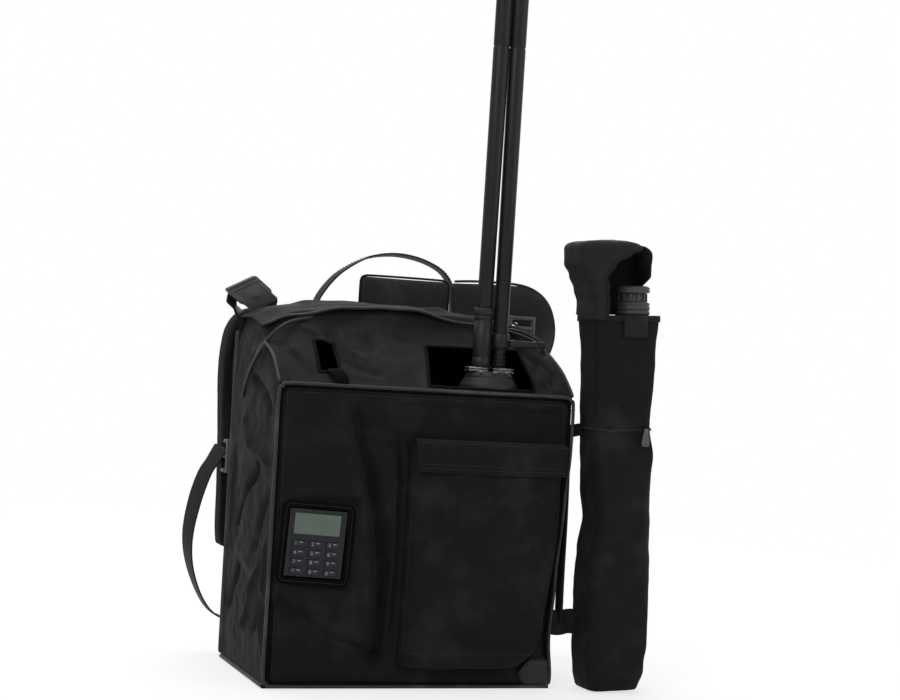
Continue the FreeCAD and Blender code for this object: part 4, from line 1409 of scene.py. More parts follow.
    def slope(self) -> None:
        """The sloped top, open at the cable slot and the whip hatch."""
        slot = (-113, -92, 17, 66)
        hatch = (2, 112, 5, 67)
        form = Form().sheet((-149, 149, 0, 104), 2.0, self.slope_point, holes=[slot, hatch])
        form.outwards(Vector((0, -1, 1)))
        cloth = sewn(form, "slope_cloth")
        # The slope takes the paler, lit copy of the nylon: painted light from above.
        dress(cloth, NYLON_TOP_LIT, stands_for=["slope_panel"])
        # The bindings round the slot and the hatch use the near-black tape, whose extra darkness paints the
        # shade inside the openings.
        edge = Form()
        for u0, u1, v0, v1 in (slot, hatch):
            route = [self.slope_point((u0 + u1) / 2 + a, (v0 + v1) / 2 + b) + Vector((0, -0.3, 0.5))
                     for a, b in round_box(u1 - u0, v1 - v0, 1.6)]
            edge.sweep(route, always(0, -0.62, 0.78), oval(1.4, 3.6, 10), closed=True)
        dress(soften(edge.piece("opening_binding")), BLACK_TAPE_AND_SHADE)
        # The slot's tab is near-black tape too, painting the shade in the slot.
        loop = Form()
        base = self.slope_point(-97, 13)
        bends = ((-1, 4, 5), (-1, -1, 4), (2, -5, 0.5), (4, -8, -4), (4, -9, -8))
        route = smooth_route([tuple(base + Vector(bend)) for bend in bends], 6)
        loop.sweep(route, always(1, 0, 0.1), oval(15, 2.6, 10, 4))
        dress(soften(loop.piece("slot_tab")), BLACK_TAPE_AND_SHADE)

    def gussets(self) -> None:
        """Both side panels, bunched where the harness pulls on them."""
        for name, side in (("left", -1.0), ("right", 1.0)):
            form = Form().sheet((-89, 89, 2, 362), 2.4,
                                lambda u, v, side=side: self.side_point(side, u, v))
            form.outwards(Vector((side, 0, 0)))
            cloth = sewn(form, f"gusset_{name}")
            # The gussets take the paler, lit copy of the nylon: painted light.
            dress(cloth, NYLON_SIDE_LIT, stands_for=[f"side_panel_{name}"])

    def lid(self) -> None:
        """The domed lid with its front lip."""
        form = Form().sheet((-149, 149, -15, 86), 2.4, self.lid_point)
        form.outwards(Vector((0, 0, 1)))
        cloth = sewn(form, "lid_cloth", 2.2)
        # The lid takes the pale, lit copy of the nylon: painted highlight.
        dress(cloth, LID_CLOTH_HIGHLIGHT, Body.LID, ["top_lid"])
        rim = [self.lid_point(u, -14.5) + Vector((0, -1.2, -0.4)) for u in range(-148, 149, 6)]
        piping = Form().sweep(rim, always(0, 0, 1), oval(3.4, 3.4, 10))
        dress(soften(piping.piece("lid_piping")), PIPE, Body.LID)

    def back_and_base(self) -> None:
        """The back panel and the base tray."""
        def back(u: float, v: float) -> Vector:
            """A point of the back panel."""
            free = window(u, -138, 138, 8) * window(v, 16, 340, 10)
            top = 8.0 * ease(110, 150, abs(u)) ** 2 * ease(300, 360, v)
            lift = free * (0.8 + 0.8 * crumple(Vector((u, 0, v)), 40, 9))
            return self.drape(Vector((u, self.rear - 1.0 - lift, v - top)))

        form = Form().sheet((-149, 149, 3, 364), 4.0, back).outwards(Vector((0, 1, 0)))
        dress(sewn(form, "back_cloth"), NYLON, stands_for=["back_panel"])

        def base(u: float, v: float) -> Vector:
            """A point of the base."""
            return Vector((u, v, 0.6 + 0.5 * (1 + crumple(Vector((u, v, 3)), 30, 4))
                           * window(u, -140, 140, 8) * window(v, -80, 80, 8)))

        form = Form().sheet((-149.4, 149.4, -89.4, 89.4), 5.0, base).outwards(Vector((0, 0, -1)))
        dress(thicken(form.piece("base_cloth"), 2.2), NYLON, stands_for=["base_tray"])

    def trim(self) -> None:
        """Piping round the front with a painted shadow strip inside it, bound seams along the other edges.
        """
        half, top, corner = self.half - 0.6, self.front_top - 0.4, 11.0
        flat = [(-half, 14), (-half, 80), (-half, 150), (-half, 220), (-half, top - corner),
                (-half + corner * 0.3, top - corner * 0.3), (-half + corner, top), (-70, top), (0, top),
                (70, top), (half - corner, top), (half - corner * 0.3, top - corner * 0.3),
                (half, top - corner), (half, 220), (half, 150), (half, 80), (half, 14),
                (half - 3, 6), (half - 12, 3), (70, 2.6), (0, 2.6), (-70, 2.6), (-half + 12, 3),
                (-half + 3, 6)]
        cord = smooth_route([(x, self.front - 1.2, z) for x, z in flat], 8, True)
        route = [self.drape(point) for point in cord]
        piping = Form().sweep(route, always(0, -1, 0), oval(4.0, 3.6, 12), closed=True)
        dress(soften(piping.piece("front_piping_cord")), PIPE, stands_for=["front_piping"])

        # A near-black strip just inside the piping: painted shadow for the gap under the piping.
        inner = [self.drape(Vector((x, self.front - 0.9, z + top / 2 + 1.3)))
                 for x, z in round_box(2 * half - 6.4, top - 7.0, 10.0, 24)]
        piping_shadow_strip = Form().sweep(inner, always(0, -1, 0), oval(1.6, 3.4, 8), closed=True)
        dress(piping_shadow_strip.piece("front_piping_painted_shadow"), BLACK_TAPE_AND_SHADE)

        seams = Form()
        for side in (-1.0, 1.0):
            arch = [(side * 151.5, 44, 276), (side * 152.5, 28, 294), (side * 152.5, 8, 310),
                    (side * 151.0, -14, 326), (side * 147, -30, 337), (side * 138, -32, 347),
                    (side * 124, -25, 354.5), (side * 106, -18, 359), (side * 92, -10, 361)]
            seams.sweep(smooth_route(arch, 8), always(0, -0.6, 0.8), oval(4.2, 3.4, 10))
            edge = [self.slope_point(side * 149, v) for v in range(0, 80, 6)]
            seams.sweep(edge, always(side, -0.3, 0.3), oval(3.4, 3.0, 8))
            rear = [self.drape(Vector((side * 149.5, 89.6, z))) for z in range(4, 350, 10)]
            seams.sweep(rear, always(side, 1, 0), oval(5.0, 2.6, 10))
            foot = [(side * 149.5, y, 3.0) for y in range(-88, 90, 8)]
            seams.sweep([Vector(p) for p in foot], always(side, 0, -1),
                        oval(4.6, 2.6, 10))
        dress(soften(seams.piece("seam_binding")), PIPE)

        rows = Form()
        for inset in (5.5, 8.5):
            line = ((-half + inset, 16), (-half + inset, 150), (-half + inset, top - 16),
                    (-half + inset + 9, top - inset), (0, top - inset),
                    (half - inset - 9, top - inset), (half - inset, top - 16),
                    (half - inset, 150), (half - inset, 16))
            route = [self.front_point(p.x, p.z) + Vector((0, -0.35, 0))
                     for p in smooth_route([(x, 0, z) for x, z in line], 24)]
            rows.stitches(route, FRONTWARD)
        route = [self.slope_point(u, 93.0) + Vector((0, -0.5, 0.4)) for u in range(-120, 128, 4)]
        rows.stitches(route, Vector((0, -0.6, 0.8)))
        dress(rows.piece("front_stitching", smooth=False), THREAD)

    def corner_guard(self) -> None:
        """The moulded cap over the lower right corner."""
        low, high, middle = span("corner_guard")

        def round_off(point: Vector) -> Vector:
            """Pull the cap in round the corner."""
            lift = ease(low.z, high.z, point.z)
            reach = max(0.0, (high.x - 14 - point.x) / 22)
            point.z = min(point.z, low.z + 4 + (high.z + 14 - low.z) * (1 - 0.75 * reach ** 2))
            point.x -= 3.0 * lift ** 2
            return point

        form = Form().brick((high.x - low.x, high.y - low.y, high.z - low.z + 13),
                            (middle.x, middle.y, middle.z + 7.0), 7.5, 5)
        form.refine(6, 5)
        form.reshape(round_off)
        dress(form.piece("corner_guard_cap"), RUBBER, stands_for=["corner_guard"])


# ------------------------------------------------------------------ the front pocket

@dataclass
class FrontPocket:
    """The bellows pocket and the flap over its top.

    Attributes:
        left: x of its left edge.
        right: x of its right edge at the top.
        low: height of its foot.
        high: height of its mouth.
        deep: how far it stands out from the front.
        corners: radius of its lower left and lower right corner.
    """

    left: float = -14.0
    right: float = 145.0
    low: float = 20.0
    high: float = 246.0
    deep: float = 20.0
    corners: tuple[float, float] = (14.0, 40.0)
    folds: tuple[Fold, ...] = (
        Fold(((138, 214), (110, 198), (80, 176), (48, 150)), 9.0, -5.5, 22),
        Fold(((140, 192), (112, 172), (86, 150)), 8.0, 4.0, 20),
        Fold(((140, 160), (118, 140), (96, 128)), 7.0, -3.5, 16),
        Fold(((10, 214), (60, 206), (112, 210)), 8.0, 3.0, 24),
        Fold(((4, 206), (2, 140), (1, 70)), 5.0, 2.4, 24),
        Fold(((12, 190), (14, 120), (18, 60)), 6.0, -2.0, 24),
        Fold(((40, 44), (80, 40), (116, 52)), 8.0, -3.0, 18),
        Fold(((30, 70), (70, 60), (110, 74)), 10.0, 3.0, 22),
    )

    def edges(self, z: float) -> tuple[float, float]:
        """Left and right edge of the pocket's outline at a height."""
        left = self.left - 2.0 * ease(60, 20, z) if z < 60 else self.left
        right = self.right - 13.0 * (1 - ease(20, 190, z)) + 2.0 * math.sin(math.pi * ease(20, 246, z))
        inset = []
        for radius in self.corners:
            short = max(0.0, radius - (z - self.low))
            inset.append(radius - math.sqrt(max(0.0, radius ** 2 - short ** 2)))
        return left + inset[0], right - inset[1]

    def point(self, u: float, v: float) -> Vector:
        """Where a point of the pocket hangs; u runs 0 to 100 across, v 0 to 100 up."""
        rise = v / 100
        z = self.low + (self.high - self.low) * rise
        left, right = self.edges(z)
        across = math.sin(math.pi / 2 * (u / 50 - 1))
        x = (left + right) / 2 + across * (right - left) / 2
        wall = (1 - abs(across) ** 9) ** 0.5
        foot = (1 - (1 - min(1.0, rise / 0.09)) ** 2.4) ** 0.5
        puff = 3.0 * math.cos(across * math.pi / 2) * math.sin(math.pi * min(1.0, rise * 0.9 + 0.05))
        pucker = 0.9 * math.exp(-((x - left - 6) / 5) ** 2) * math.sin(z * math.tau / 17)
        ripple = folded(self.folds, x, z) + 1.4 * crumple(Vector((x, 10, z)), 34, 4.4)
        ripple = (ripple + 0.6 * crumple(Vector((x, 40, z)), 12, 9.4)) * window(across, -0.9, 0.9, 0.1)
        lift = (self.deep + puff + pucker + ripple) * wall * foot
        return Vector((x, -90.6 - lift, z))

    def flap_point(self, u: float, v: float) -> Vector:
        """Where a point of the flap hangs; u is x, v runs from the hinge over the mouth and down."""
        turn = [(0, -90.6, 248.0), (10, -100, 248.6), (19, -109.5, 247.6), (24, -113.4, 244.4),
                (30, -114.6, 239), (40, -114.9, 229), (53, -114.6, 216.5)]
        for (a, ya, za), (b, yb, zb) in zip(turn, turn[1:]):
            if v <= b or b == turn[-1][0]:
                share = (v - a) / (b - a)
                y, z = ya + (yb - ya) * share, za + (zb - za) * share
                break
        hang = ease(18, 30, v)
        wave = 1.1 * math.sin(u * math.tau / 19 + 1.3 * math.sin(u / 17)) * window(v, 30, 44, 7)
        lift = hang * (wave + 0.9 * crumple(Vector((u, 5, v)), 24, 2.2) + 0.6)
        side = ease(134, 146, u) + ease(-4, -16, u) if u < -4 else ease(134, 146, u)
        y -= lift - 3.0 * side * hang
        return Vector((u, y, z - 1.2 * math.sin(math.pi * ease(-14, 145, u)) * ease(40, 53, v)))

    def build(self) -> None:
        """Make the pocket, its flap and their stitching."""
        form = Form().sheet((0, 100, 0, 100), 1.05, self.point).outwards(FRONTWARD)
        pocket = sewn(form, "pocket_cloth", 1.5)
        dress(pocket, NYLON, stands_for=["front_pocket"])
        form = Form().sheet((self.left, 145.5, 0, 53), 1.7, self.flap_point)
        form.outwards(FRONTWARD)
        flap = sewn(form, "flap_cloth")
        dress(flap, NYLON, Body.FLAP, ["pocket_flap"])
        rows = Form()
        for v in (22.5, 44.5, 48.5):
            route = [self.flap_point(u, v) + Vector((0, -0.4, 0.2)) for u in range(-9, 142, 3)]
            rows.stitches(route, FRONTWARD)
        dress(rows.piece("flap_stitching", smooth=False), THREAD, Body.FLAP)
        rows = Form()
        for share in (7.0, 93.0):
            rows.stitches([self.point(share, v) + Vector((0, -0.4, 0)) for v in range(8, 97, 2)],
                          FRONTWARD)
        rows.stitches([self.point(u, 8) + Vector((0, -0.4, 0)) for u in range(12, 90, 2)],
                      FRONTWARD)
        dress(rows.piece("pocket_stitching", smooth=False), THREAD)


# ------------------------------------------------------------------ the control head

@dataclass
class ControlHead:
    """Window binding, bezel, display and keys with their legends.

    Attributes:
        tilt: how far the head leans, in degrees.
        legends: what stands on each key, row by row.
    """

    tilt: float = 3.0
    legends: tuple[str, ...] = ("1", "2", "3", "4", "5", "6", "7", "8", "9", "*", "0", "#")

    def turn(self) -> Matrix:
        """How the head leans."""
        return Matrix.Rotation(math.radians(self.tilt), 4, "Y")

    def build(self) -> None:
        """Make the binding and legends; the moulded parts keep their own shapes."""
        _, _, middle = span("window_frame")
        turn = self.turn()
        route = [turn @ Vector((x, 0, z)) + Vector((middle.x, -91.9, middle.z))
                 for x, z in round_box(66.8, 74.8, 5.0)]
        form = Form().sweep(route, always(0, -1, 0), oval(3.6, 6.4, 14, 3.0), closed=True)
        # The window binding is black tape darkened further as painted shade for the recessed window.
        dress(soften(form.piece("window_binding")), BLACK_TAPE_AND_SHADE, stands_for=["window_frame"])
        seam = [p + FRONTWARD * 2.0 for p in (*route, route[0])]
        rows = Form().stitches(seam, FRONTWARD, 3.2, 2.2, 0.5)
        dress(rows.piece("window_stitching", smooth=False), THREAD)
        for number, mark in enumerate(self.legends, 1):
            self.legend(number, mark)
        self.display_mask()

    def legend(self, number: int, mark: str) -> None:
        """Raise one key's mark.

        Args:
            number: the key's number.
            mark: its character.
        """
        low, _, middle = span(f"key_{number}")
        words = bpy.data.curves.new(f"legend_{number}", "FONT")
        words.body, words.size, words.extrude = mark, 5.0, 0.15
        words.align_x, words.align_y = "CENTER", "CENTER"
        maker = bpy.data.objects.new("legend_maker", words)
        bpy.context.scene.collection.objects.link(maker)
        graph = bpy.context.evaluated_depsgraph_get()
        mesh = bpy.data.meshes.new_from_object(maker.evaluated_get(graph))
        bpy.data.objects.remove(maker)
        spot = Vector((middle.x - 3.2, low.y - 0.02, middle.z))
        place = Matrix.Translation(spot) @ self.turn() @ Matrix.Rotation(math.radians(90), 4, "X")
        mesh.transform(Matrix.Scale(MM, 4) @ place)
        mark_piece = bpy.data.objects.new(f"key_{number}_legend", mesh)
        bpy.context.scene.collection.objects.link(mark_piece)
        dress(mark_piece, LEGEND, f"key_{number}")
        bar = Form().brick((3.4, 0.3, 0.9), (spot.x + 5.4, low.y - 0.02, spot.z + 0.9), 0.1, 1,
                           self.turn())
        dress(bar.piece(f"key_{number}_bar"), LEGEND, f"key_{number}")

    def display_mask(self) -> None:
        """A thin dark rim round the display."""
        low, _, middle = span("lcd_glass")
        turn = self.turn()
        route = [turn @ Vector((x, 0, z)) + Vector((middle.x, low.y - 0.3, middle.z))
                 for x, z in round_box(47.6, 21.6, 1.4, 3)]
        form = Form().sweep(route, always(0, -1, 0), oval(1.0, 1.2, 8, 3), closed=True)
        dress(form.piece("display_rim"), HEAD)


# ------------------------------------------------------------------ the radio inside

@dataclass
class PackedNodes:
    """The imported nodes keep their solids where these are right, with finer finishes."""

    def build(self) -> None:
        """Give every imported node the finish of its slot."""
        slots = {part["node"]: part["material_slot"] for part in RECORD["subparts"]}
        for node, made in frame["nodes"].items():
            made.data.materials.clear()
            made.data.materials.append(SLOTS[slots[node]].material())


# ------------------------------------------------------------------ the whips

@dataclass
class WhipMast:
    """The pair of whips over their rubber boot.

    Attributes:
        left: x of the left whip.
        right: x of the right whip.
        row: y of both whips.
    """

    left: float = 67.0
    right: float = 86.0
    row: float = -57.0

    def build(self) -> None:
        """Make the boot, nuts, sockets, collar, clip, tip caps and whip tubes."""
        middle = (self.left + self.right) / 2
        boot = Form().lathe([(0, 297), (28.5, 297), (30, 298.2), (29.8, 300.6), (29.2, 301.6),
                             (29.6, 302.6), (28.2, 304.4), (26.8, 307.0), (25.2, 309.8),
                             (24.0, 311.2), (24.6, 312.2), (23.6, 313.6), (21.8, 316.0),
                             (20.2, 317), (0, 317)], (middle, self.row, 0), 64)
        dress(boot.piece("antenna_boot_skin"), RUBBER, stands_for=["antenna_boot"])
        nuts = Form()
        for x in (self.left - 3.5, self.right + 3.5):
            nuts.lathe([(0, 317), (13, 317), (13, 318.2), (12.2, 318.6), (12.2, 319.0), (13, 319.4),
                        (13, 320.2), (12.3, 321), (0, 321)], (x, self.row, 0), 12)
        dress(crisp(nuts.piece("flange_nut_pair", smooth=False), 0.3), BRIGHT_METAL,
              stands_for=["flange_nuts"])
        bright = Form()
        teeth, reach = 10, 23.6
        for i in range(teeth):
            turn = math.tau * i / teeth + 0.2
            spot = (middle + reach * math.cos(turn), self.row + reach * math.sin(turn), 316.6)
            bright.brick((4.6, 2.0, 1.6), spot, 0.5, 2, Matrix.Rotation(turn + math.pi / 2, 4, "Z"))
        dress(bright.piece("flange_teeth"), BRIGHT_METAL)

        sleeve = Form().lathe([(0, 321), (8.9, 321), (9.5, 321.8), (9.5, 330), (9.1, 330.6),
                               (9.1, 331.4), (9.5, 332), (9.5, 366.6), (8.9, 367.2), (8.9, 368.2),
                               (9.5, 368.8), (9.5, 372.2), (9.1, 373), (7.8, 373), (7.8, 366),
                               (7.8, 324.2), (0, 324.2)], (self.left, self.row, 0), 48)
        dress(sleeve.piece("left_sleeve_tube"), BLACK_METAL, stands_for=["left_sleeve"])
        collar = Form().lathe([(7.8, 373.3), (9.4, 373.3), (9.8, 373.9), (9.8, 379.7), (9.4, 380.3),
                               (7.8, 380.3), (7.8, 373.3)], (self.left, self.row, 0), 48)
        ribs, reach = 24, 9.7
        for i in range(ribs):
            turn = math.tau * i / ribs
            spot = (self.left + reach * math.cos(turn), self.row + reach * math.sin(turn), 376.8)
            collar.brick((0.5, 1.1, 5.0), spot, 0.15, 1, Matrix.Rotation(turn, 4, "Z"))
        dress(collar.piece("left_collar_ring"), RUBBER, Body.COLLAR, ["left_collar"])
        stub = Form().lathe([(0, 321), (5.6, 321), (6, 321.6), (6, 338), (7.2, 340), (8.7, 342.4),
                             (9, 343.2), (9, 355.2), (8.6, 356), (7.8, 356), (7.8, 346.2),
                             (0, 346.2)], (self.right, self.row, 0), 48)
        for height in (323.4, 327.0, 330.6):
            stub.lathe([(6.0, height), (6.7, height + 0.5), (6.7, height + 1.5), (6.0, height + 2.0)],
                       (self.right, self.row, 0), 40)
        dress(stub.piece("right_stub_socket"), BLACK_METAL, stands_for=["right_stub"])
        # The clip is dark rubber; its near-black tone also paints the shadow band beside the mast.
        clip = Form().brick((39.6, 9.6, 6.6), (self.right + 29, self.row, 346.5), 1.4, 3)
        clip.brick((4.0, 10.0, 7.0), (self.right + 15, self.row, 346.5), 0.8, 2)
        clip.brick((2.0, 10.0, 7.0), (self.right + 39, self.row, 346.5), 0.6, 2)
        dress(clip.piece("whip_clip_bar"), RUBBER, stands_for=["whip_clip"])
        for side, x, foot, body in (("left", self.left, 380.6, Body.LEFT_WHIP),
                                    ("right", self.right, 356.6, Body.RIGHT_WHIP)):
            cap = Form().lathe([(0, 900), (8.0, 900), (8.4, 900.6), (8.4, 904.0), (7.6, 906.2),
                                (5.6, 907.6), (3.0, 908), (0, 908)], (x, self.row, 0), 40)
            dress(cap.piece(f"{side}_tip_cap"), RUBBER, body, [f"{side}_whip_cap"])
            tube = Form().lathe([(6, foot - 14), (7.5, foot - 14), (7.5, 640), (7.1, 640.6), (7.1, 642),
                                 (7.5, 642.6), (7.5, 899.8), (6, 899.8), (6, foot - 14)],
                                (x, self.row, 0), 48)
            inward = 0.9 if side == "left" else -0.9

            def jacket(point: Vector, middle: float = x, shift: float = inward) -> Vector:
                """Above the sockets each whip has a thicker jacket on its inner side."""
                share = ease(386, 396, point.z)
                point.x = middle + (point.x - middle) * (1 + 0.12 * share) + shift * share
                return point

            tube.reshape(jacket)
            low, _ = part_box(f"{side}_whip")
            tube.reshape(lambda point, z=low.z / MM, start=foot - 14: Vector((point.x, point.y, z))
                         if abs(point.z - start) < 0.01 else point)
            dress(crisp(tube.piece(f"{side}_whip_tube"), 0.3), WHIP, body, [f"{side}_whip"])


# ------------------------------------------------------------------ the harness

@dataclass
class Harness:
    """Back pad, yoke, shoulder straps, webbing, handle and buckles.

    Attributes:
        strap: width and thickness of a shoulder strap.
    """

    strap: tuple[float, float] = (44.0, 18.0)

    def build(self) -> None:
        """Make the soft parts first, then the hardware."""
        self.back_pad()
        self.yoke()
        self.shoulder_straps()
        self.handle()
        self.webbing()
        self.hardware()

    def back_pad(self) -> None:
        """The quilted pad against the wearer's back."""
        form = Form().brick((276, 8.5, 342), (0, 96.0, 193), 3.5, 3)
        form.refine(20, 24)

        def channel(point: Vector) -> Vector:
            """Round the corners and press in the sewn channels."""
            for sx in (-1, 1):
                for z0, sz in ((45, -1), (341, 1)):
                    dx, dz = sx * point.x - 113, sz * (point.z - z0)
                    if dx > 0 and dz > 0:
                        far = max(1.0, math.hypot(dx, dz) / 25)
                        point.x, point.z = sx * (113 + dx / far), z0 + sz * dz / far
            return point

        pad = inflate(form.reshape(channel).piece("back_pad_cushion"), 2.0)
        channels = [Fold(((x, 40), (x, 346)), 3.4, 2.6, 10) for x in (-60, 60)]
        channels += [Fold(((-60, z), (60, z)), 3.4, 2.2, 10) for z in (130, 240)]
        for vert in pad.data.vertices:
            if vert.co.y > 0.096:
                vert.co.y -= folded(channels, vert.co.x / MM, vert.co.z / MM) * MM
        dress(pad, PADDING, stands_for=["back_pad"])

    def yoke(self) -> None:
        """The padded block between the straps, with its bound edge."""
        low, high, middle = span("yoke_pad")
        form = Form().brick((high.x - low.x - 2, 8.6, high.z - low.z - 2), tuple(middle), 3.8, 3)
        form.refine(12, 8)
        pad = inflate(form.piece("yoke_cushion"), 2.2, 4.0)
        for vert in pad.data.vertices:
            vert.co.y = max(vert.co.y, (low.y + 0.3) * MM)
        dress(pad, PADDING, stands_for=["yoke_pad"])
        rim = [(low.x + 1.6, 0, low.z + 5), (low.x + 1.6, 0, high.z - 14), (low.x + 2.2, 0, high.z - 5),
               (low.x + 6, 0, high.z - 1.4), (low.x + 16, 0, high.z - 0.6), (middle.x, 0, high.z - 0.4),
               (high.x - 16, 0, high.z - 0.6), (high.x - 6, 0, high.z - 1.4), (high.x - 2.2, 0, high.z - 5),
               (high.x - 1.6, 0, high.z - 14), (high.x - 1.6, 0, low.z + 5)]
        route = [p + Vector((0, middle.y, 0)) for p in smooth_route(rim, 8)]
        piping = Form().sweep(route, always(0, 1, 0), oval(5.0, 2.6, 10))
        dress(soften(piping.piece("yoke_binding")), TAPE)

    def shoulder_straps(self) -> None:
        """Both shoulder straps, swollen between their bound edges."""
        outward, rearward = Vector((1, 0, 0)), Vector((0, 1, 0))

        def right_way(share: float) -> Vector:
            """The right strap leaves the yoke face on, and turns on edge as it falls."""
            if share < 0.42:
                return UP.lerp(outward, ease(0.2, 0.42, share))
            return outward.lerp(rearward, ease(0.46, 0.84, share))

        routes = {
            # The left strap takes the near-black, shaded copy of the pad cloth (painted shade); the right
            # one takes the pad cloth itself.
            "left": ([(-96, 124, 357), (-116, 124, 360), (-133, 124, 357), (-143, 124, 344),
                      (-146.5, 124.2, 322), (-147, 124.4, 296), (-145.5, 124.4, 262),
                      (-143.5, 124.2, 220), (-142, 124, 165), (-141.5, 124, 114)],
                     always(0, 1, 0), self.strap[1], STRAP_CLOTH_SHADED, TAPE),
            "right": ([(86, 97, 389), (112, 97.5, 391), (140, 98.5, 391.5), (168, 100, 390),
                       (184, 102.5, 381), (192, 106, 362), (193, 109, 338), (191, 111, 308),
                       (187, 112, 270), (184, 112, 210), (182, 112, 120)],
                      right_way, 11.0, PADDING, PIPE)}
        wide = self.strap[0]
        for side, (points, way, thick, finish, bound) in routes.items():
            route = smooth_route(points, 6)
            form = Form().sweep(route, way, oval(wide - 1, thick, 24, 3.6))
            pad = inflate(form.piece(f"shoulder_strap_{side}_pad"), 2.0, 3.6)
            dress(pad, finish, stands_for=[f"shoulder_strap_{side}"])
            edge = Form()
            rows = stations(route, way)[1:-1]
            for offset in (-1.0, 1.0):
                line = [centre + across * (offset * (wide - 1.5) / 2) for centre, across, _ in rows]
                ups = [up for _, _, up in rows]
                edge.sweep(line, lambda share, ups=ups: ups[round(share * (len(ups) - 1))],
                           oval(5.4, 3.0, 10, 3))
            dress(soften(edge.piece(f"strap_{side}_binding")), bound)

    def handle(self) -> None:
        """The thin webbing loop over the top."""
        points = [(-64, 0, 359), (-63, 0, 370), (-57, 0, 386), (-43, 0, 405), (-27, 0, 418),
                  (-3, 0, 430.5), (28, 0, 435.0), (59, 0, 430.0), (82, 0, 418), (93, 0, 399),
                  (95, 0, 378), (94, 0, 359)]
        route = [Vector((p.x, 114.8, p.z)) for p in smooth_route(points, 6)]
        band = Form().sweep(route, lambda share: Vector((0, 1, 0.12 * math.sin(share * 9))),
                            oval(20.0, 2.2, 14, 5))
        dress(soften(band.piece("handle_webbing")), WEBBING, Body.HANDLE,
              ["carry_handle"])
        rows = Form()
        for offset in (-9.6, 9.6):
            rows.stitches([p + Vector((0, offset, 1.0)) for p in route[14:-14]], Vector((0, 0, 1)))
        dress(rows.piece("handle_stitching", smooth=False), THREAD, Body.HANDLE)

    def webbing(self) -> None:
        """The adjusting webbing on both sides, bowed outwards."""
        for side, sign, x in (("left", -1, 153.0), ("right", 1, 197.0)):
            bow = ((1.2, 221), (9, 206), (18, 190), (27, 160), (32, 126), (29, 96), (18, 66),
                   (4, 46), (-14, 37.5))
            points = [(x + out, 0, z) for out, z in bow]
            points.append((118 if side == "left" else 150, 0, 36))
            route = [Vector((sign * p.x, 114.5, p.z)) for p in smooth_route(points, 7)]

            def way(share: float, sign: int = sign) -> Vector:
                """The band twists to show its face at the top."""
                return Vector((sign * 0.45 * (1 - ease(0.25, 0.7, share)), 1, 0))

            band = Form().sweep(route, way, oval(24.4, 2.2, 14, 5))
            dress(soften(band.piece(f"strap_webbing_{side}")), WEBBING,
                  stands_for=[f"webbing_{side}"])

    def hardware(self) -> None:
        """Ladder locks, the side-release buckle and the lifter lock."""
        locks = Form()
        bow = ((0.0, 97.5), (1.2, 108), (1.6, 114.5), (1.2, 121), (0.0, 131.5))
        for x, sign in ((-150.0, -1), (194.0, 1)):
            for z in (195.6, 211.0, 226.4):
                locks.sweep([Vector((x + sign * out, y, z)) for out, y in bow],
                            always(0, 0, 1), oval(5.0, 4.2, 12, 2.6))
            for y in (99.6, 129.4):
                locks.brick((5.0, 4.4, 36), (x, y, 211), 1.4, 3)
        dress(locks.piece("ladder_lock_frames"), BUCKLE, stands_for=["ladder_locks"])
        long_way, wide_way = Vector((0.80, 0.06, -0.60)), Vector((0.88, 0.0, 0.47))
        turn = Matrix((long_way, wide_way, Vector((0, 1, 0)))).transposed().to_4x4()
        turn.translation = Vector((-134.5, 95.0, 382.0))
        body = [(-19, -16), (-17, -18), (4, -18), (8, -15.6), (16, -15.6), (19, -13), (19, 13), (16, 15.6),
                (8, 15.6), (4, 18), (-17, 18), (-19, 16)]
        clasp = Form().slab(body, 6.0, -3.0, turn, 1.0, 2)
        for y in (-13.4, 13.4):
            clasp.slab([(-6, y - 2), (9, y - 2), (9, y + 2), (-6, y + 2)], 7.4, -3.7, turn, 0.8, 2)
        for x in (-17.0, -12.0):
            clasp.slab([(x - 1.5, -16), (x + 1.5, -16), (x + 1.5, 16), (x - 1.5, 16)],
                       8.4, -4.2, turn, 1.0, 2)
        clasp.slab([(-6, -5), (6, -5), (7, 0), (6, 5), (-6, 5)], 7.6, -3.8, turn, 1.0, 2)
        dress(clasp.piece("side_release_buckle"), BUCKLE, stands_for=["strap_buckle"])
        tails = Form()
        for points in ([(-123, 95, 373), (-112, 95.5, 367), (-98, 96, 364), (-84, 96.5, 363.5)],
                       [(-148, 97, 386), (-150, 100, 379), (-149, 108, 370), (-144, 116, 364),
                        (-136, 122, 362)]):
            tails.sweep(smooth_route(points, 6),
                        lambda share: wide_way if share < 0.4 else Vector((0.3, 1, 0.3)),
                        oval(24, 2.2, 12, 5))
        dress(soften(tails.piece("buckle_webbing_tails")), WEBBING)
        low, high, middle = span("lifter_lock")
        lock = Form()
        for z in (low.z + 2.4, middle.z, high.z - 2.4):
            lock.brick((high.x - low.x, 5.2, 4.2), (middle.x, 87, z), 1.3, 3)
        for x in (low.x + 2.5, high.x - 2.5):
            lock.brick((4.6, 5.6, high.z - low.z), (x, 87, middle.z), 1.4, 3)
        dress(lock.piece("lifter_lock_frame"), BUCKLE, stands_for=["lifter_lock"])


# ------------------------------------------------------------------ the quiver

